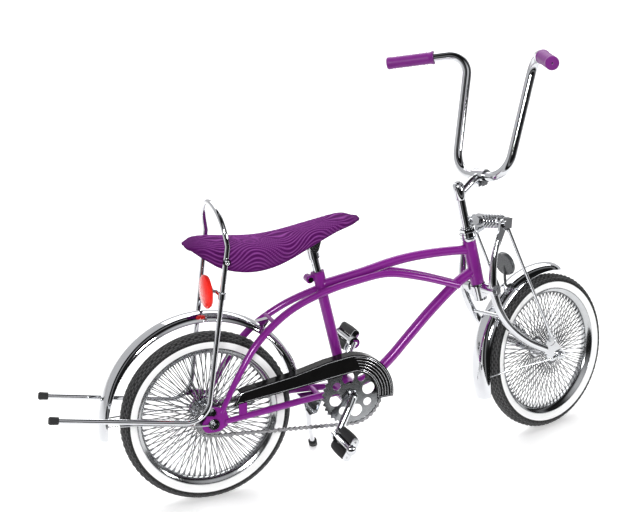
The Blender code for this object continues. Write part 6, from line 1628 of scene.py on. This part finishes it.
def ride_all():
    """Hangs each piece on the body of its node; the fork spring is hung on no body and stays where it was
    made.
    """
    bpy.context.view_layer.update()
    spring = next(made for made, node in MADE if node == "fork_spring")
    for made, node in MADE:
        world = made.matrix_world.copy()
        made.parent = None
        made.data.transform(world)
        made.matrix_world = Matrix.Identity(4)
    for made, node in MADE:
        owner = node or made["beside"]
        if made == spring:
            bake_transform(made)
        else:
            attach(made, frame["nodes"][owner]["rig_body"])
        if node:
            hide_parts(node)
    for axis in AXES:
        bpy.data.objects.remove(axis, do_unlink=True)


def build():
    """Sets up the moving axes as they stand in the photograph and makes each piece about its own axis."""
    bike = empty("bicycle", None, BICYCLE_AT, (-LEAN, 0, 0))
    rear_wheel = empty("rear_wheel_axis", bike, (0, 0, AXLE_HEIGHT))
    driver = empty("driver_axis", bike, (0, 0, AXLE_HEIGHT))
    crank = empty("crank_axis", bike, tuple(BOTTOM_BRACKET), (0, -CRANK_ANGLE, 0))
    stand = empty("kickstand_axis", bike, tuple(STAND_PIVOT))
    head = empty("head_axis", bike, (WHEELBASE_TO_AXIS, 0, AXLE_HEIGHT), (0, HEAD_ANGLE - math.pi / 2, 0))
    steering = empty("steering_axis", head, rotation=(0, 0, STEER))
    springer = empty("springer_axis", steering, (0, 0, PIVOT_Z))
    front_wheel = empty("front_wheel_axis", springer, (FRONT_AXLE[0], 0, FRONT_AXLE[1] - PIVOT_Z))

    make_frame(bike)
    make_seat_post(bike)
    make_seat(bike)
    make_hoop(bike)
    make_reflectors(bike, springer)
    make_rear_fender(bike)
    make_guard(bike)
    make_headset(bike, steering)
    make_bottom_bracket(bike)
    axle_with_nuts("rear_axle", bike, (0, AXLE_HEIGHT), DROPOUT_FACE + STAY_EYE + 2 * GAP, 0.014, 0.008)
    make_brake_arm(bike)
    make_chain(bike)
    make_kickstand(bike, stand)
    make_wheel("rear", rear_wheel, REAR_FLANGE_RADIUS, REAR_FLANGE_Y, REAR_HUB_RADIUS, 0.0395)
    make_rear_cog(driver)
    make_crank(crank)
    for side, label in SIDES:
        tilt = CRANK_ANGLE - PEDAL_TILT
        pedal = empty("pedal_axis_" + label, crank, (-side * CRANK_LENGTH, 0, 0), (0, tilt, 0))
        make_pedal(pedal, side, label)
    make_fork_crown(steering)
    make_stem(steering)
    make_handlebar(steering)
    make_spring(steering)
    make_springer(springer)
    make_front_fender(springer)
    make_wheel("front", front_wheel, FRONT_FLANGE_RADIUS, FRONT_FLANGE_Y, FRONT_HUB_RADIUS, 0.047)
    ride_all()


def floor_sheets():
    """The pale floor in two sheets; the chrome sees only the one behind the front edge."""
    paper = surface("floor_paper", (0.88, 0.88, 0.88), (0.92, 0.92, 0.92), (0.7, 0.8), spots=2.0)
    glow = paper.node_tree.nodes["Principled BSDF"].inputs
    glow["Emission Color"].default_value = (1.0, 1.0, 1.0, 1.0)
    glow["Emission Strength"].default_value = FLOOR_GLOW
    for name, low, high in (("floor", FLOOR_EDGE, FLOOR_REACH), ("floor_front", -FLOOR_REACH, FLOOR_EDGE)):
        sheet = bmesh.new()
        corners = ((-FLOOR_REACH, low), (FLOOR_REACH, low), (FLOOR_REACH, high), (-FLOOR_REACH, high))
        sheet.faces.new([sheet.verts.new((x, y, 0)) for x, y in corners])
        ground = solid(name, sheet)
        ground.data.materials.append(paper)
        ground.visible_glossy = low == FLOOR_EDGE


def lamps():
    """The studio's lights, each turned to its aim."""
    for name, kind, at, aim, size, power in LIGHTS:
        lamp = bpy.data.lights.new(name, kind)
        lamp.energy = power
        if kind == "AREA":
            lamp.shape = "RECTANGLE"
            lamp.size, lamp.size_y = size
        else:
            lamp.shadow_soft_size = size[0]
            lamp.spot_size = math.radians(size[1])
            lamp.spot_blend = 0.7
        holder = linked(name, lamp)
        holder.location = at
        holder.visible_glossy = name != "top_light"
        holder.rotation_euler = (Vector(aim) - Vector(at)).to_track_quat("-Z", "Y").to_euler()


def studio_world():
    """Grey bands round the scene for the chrome to mirror, behind a backdrop that the camera sees white."""
    world = bpy.data.worlds.new("studio")
    world.use_nodes = True
    bpy.context.scene.world = world
    tree = world.node_tree
    where = tree.nodes.new("ShaderNodeTexCoord")
    facing = tree.nodes.new("ShaderNodeVectorMath")
    facing.operation = "DOT_PRODUCT"
    facing.inputs[1].default_value = Vector(DARK_SIDE).normalized()
    ramp = tree.nodes.new("ShaderNodeValToRGB")
    tree.links.new(where.outputs["Generated"], facing.inputs[0])
    tree.links.new(facing.outputs["Value"], ramp.inputs["Fac"])
    ray = tree.nodes.new("ShaderNodeLightPath")
    backdrop = mixed(tree, ray.outputs["Is Camera Ray"], (1.0, 1.0, 1.0))
    tree.links.new(ramp.outputs["Color"], backdrop.inputs["A"])
    tree.links.new(backdrop.outputs["Result"], tree.nodes["Background"].inputs["Color"])
    tree.nodes["Background"].inputs["Strength"].default_value = WORLD_STRENGTH
    stops = ramp.color_ramp.elements
    stops[0].position, stops[0].color = 0.0, (0.8, 0.8, 0.81, 1)
    stops[1].position, stops[1].color = 1.0, (0.95, 0.95, 0.96, 1)
    for position, grey in WORLD_BANDS:
        stops.new(position).color = (grey, grey, grey * 1.02, 1)


def photo_camera():
    """The camera at the photograph's angle."""
    bpy.context.scene.view_settings.view_transform = "Standard"
    lens = bpy.data.cameras.new("camera")
    lens.lens = CAMERA_LENS
    holder = linked("camera", lens)
    holder.location = Vector(CAMERA_FROM_BICYCLE) + Vector(BICYCLE_AT)
    holder.rotation_euler = (CAMERA_TILT, 0, CAMERA_TURN)
    bpy.context.scene.camera = holder


build()
floor_sheets()
lamps()
studio_world()
photo_camera()
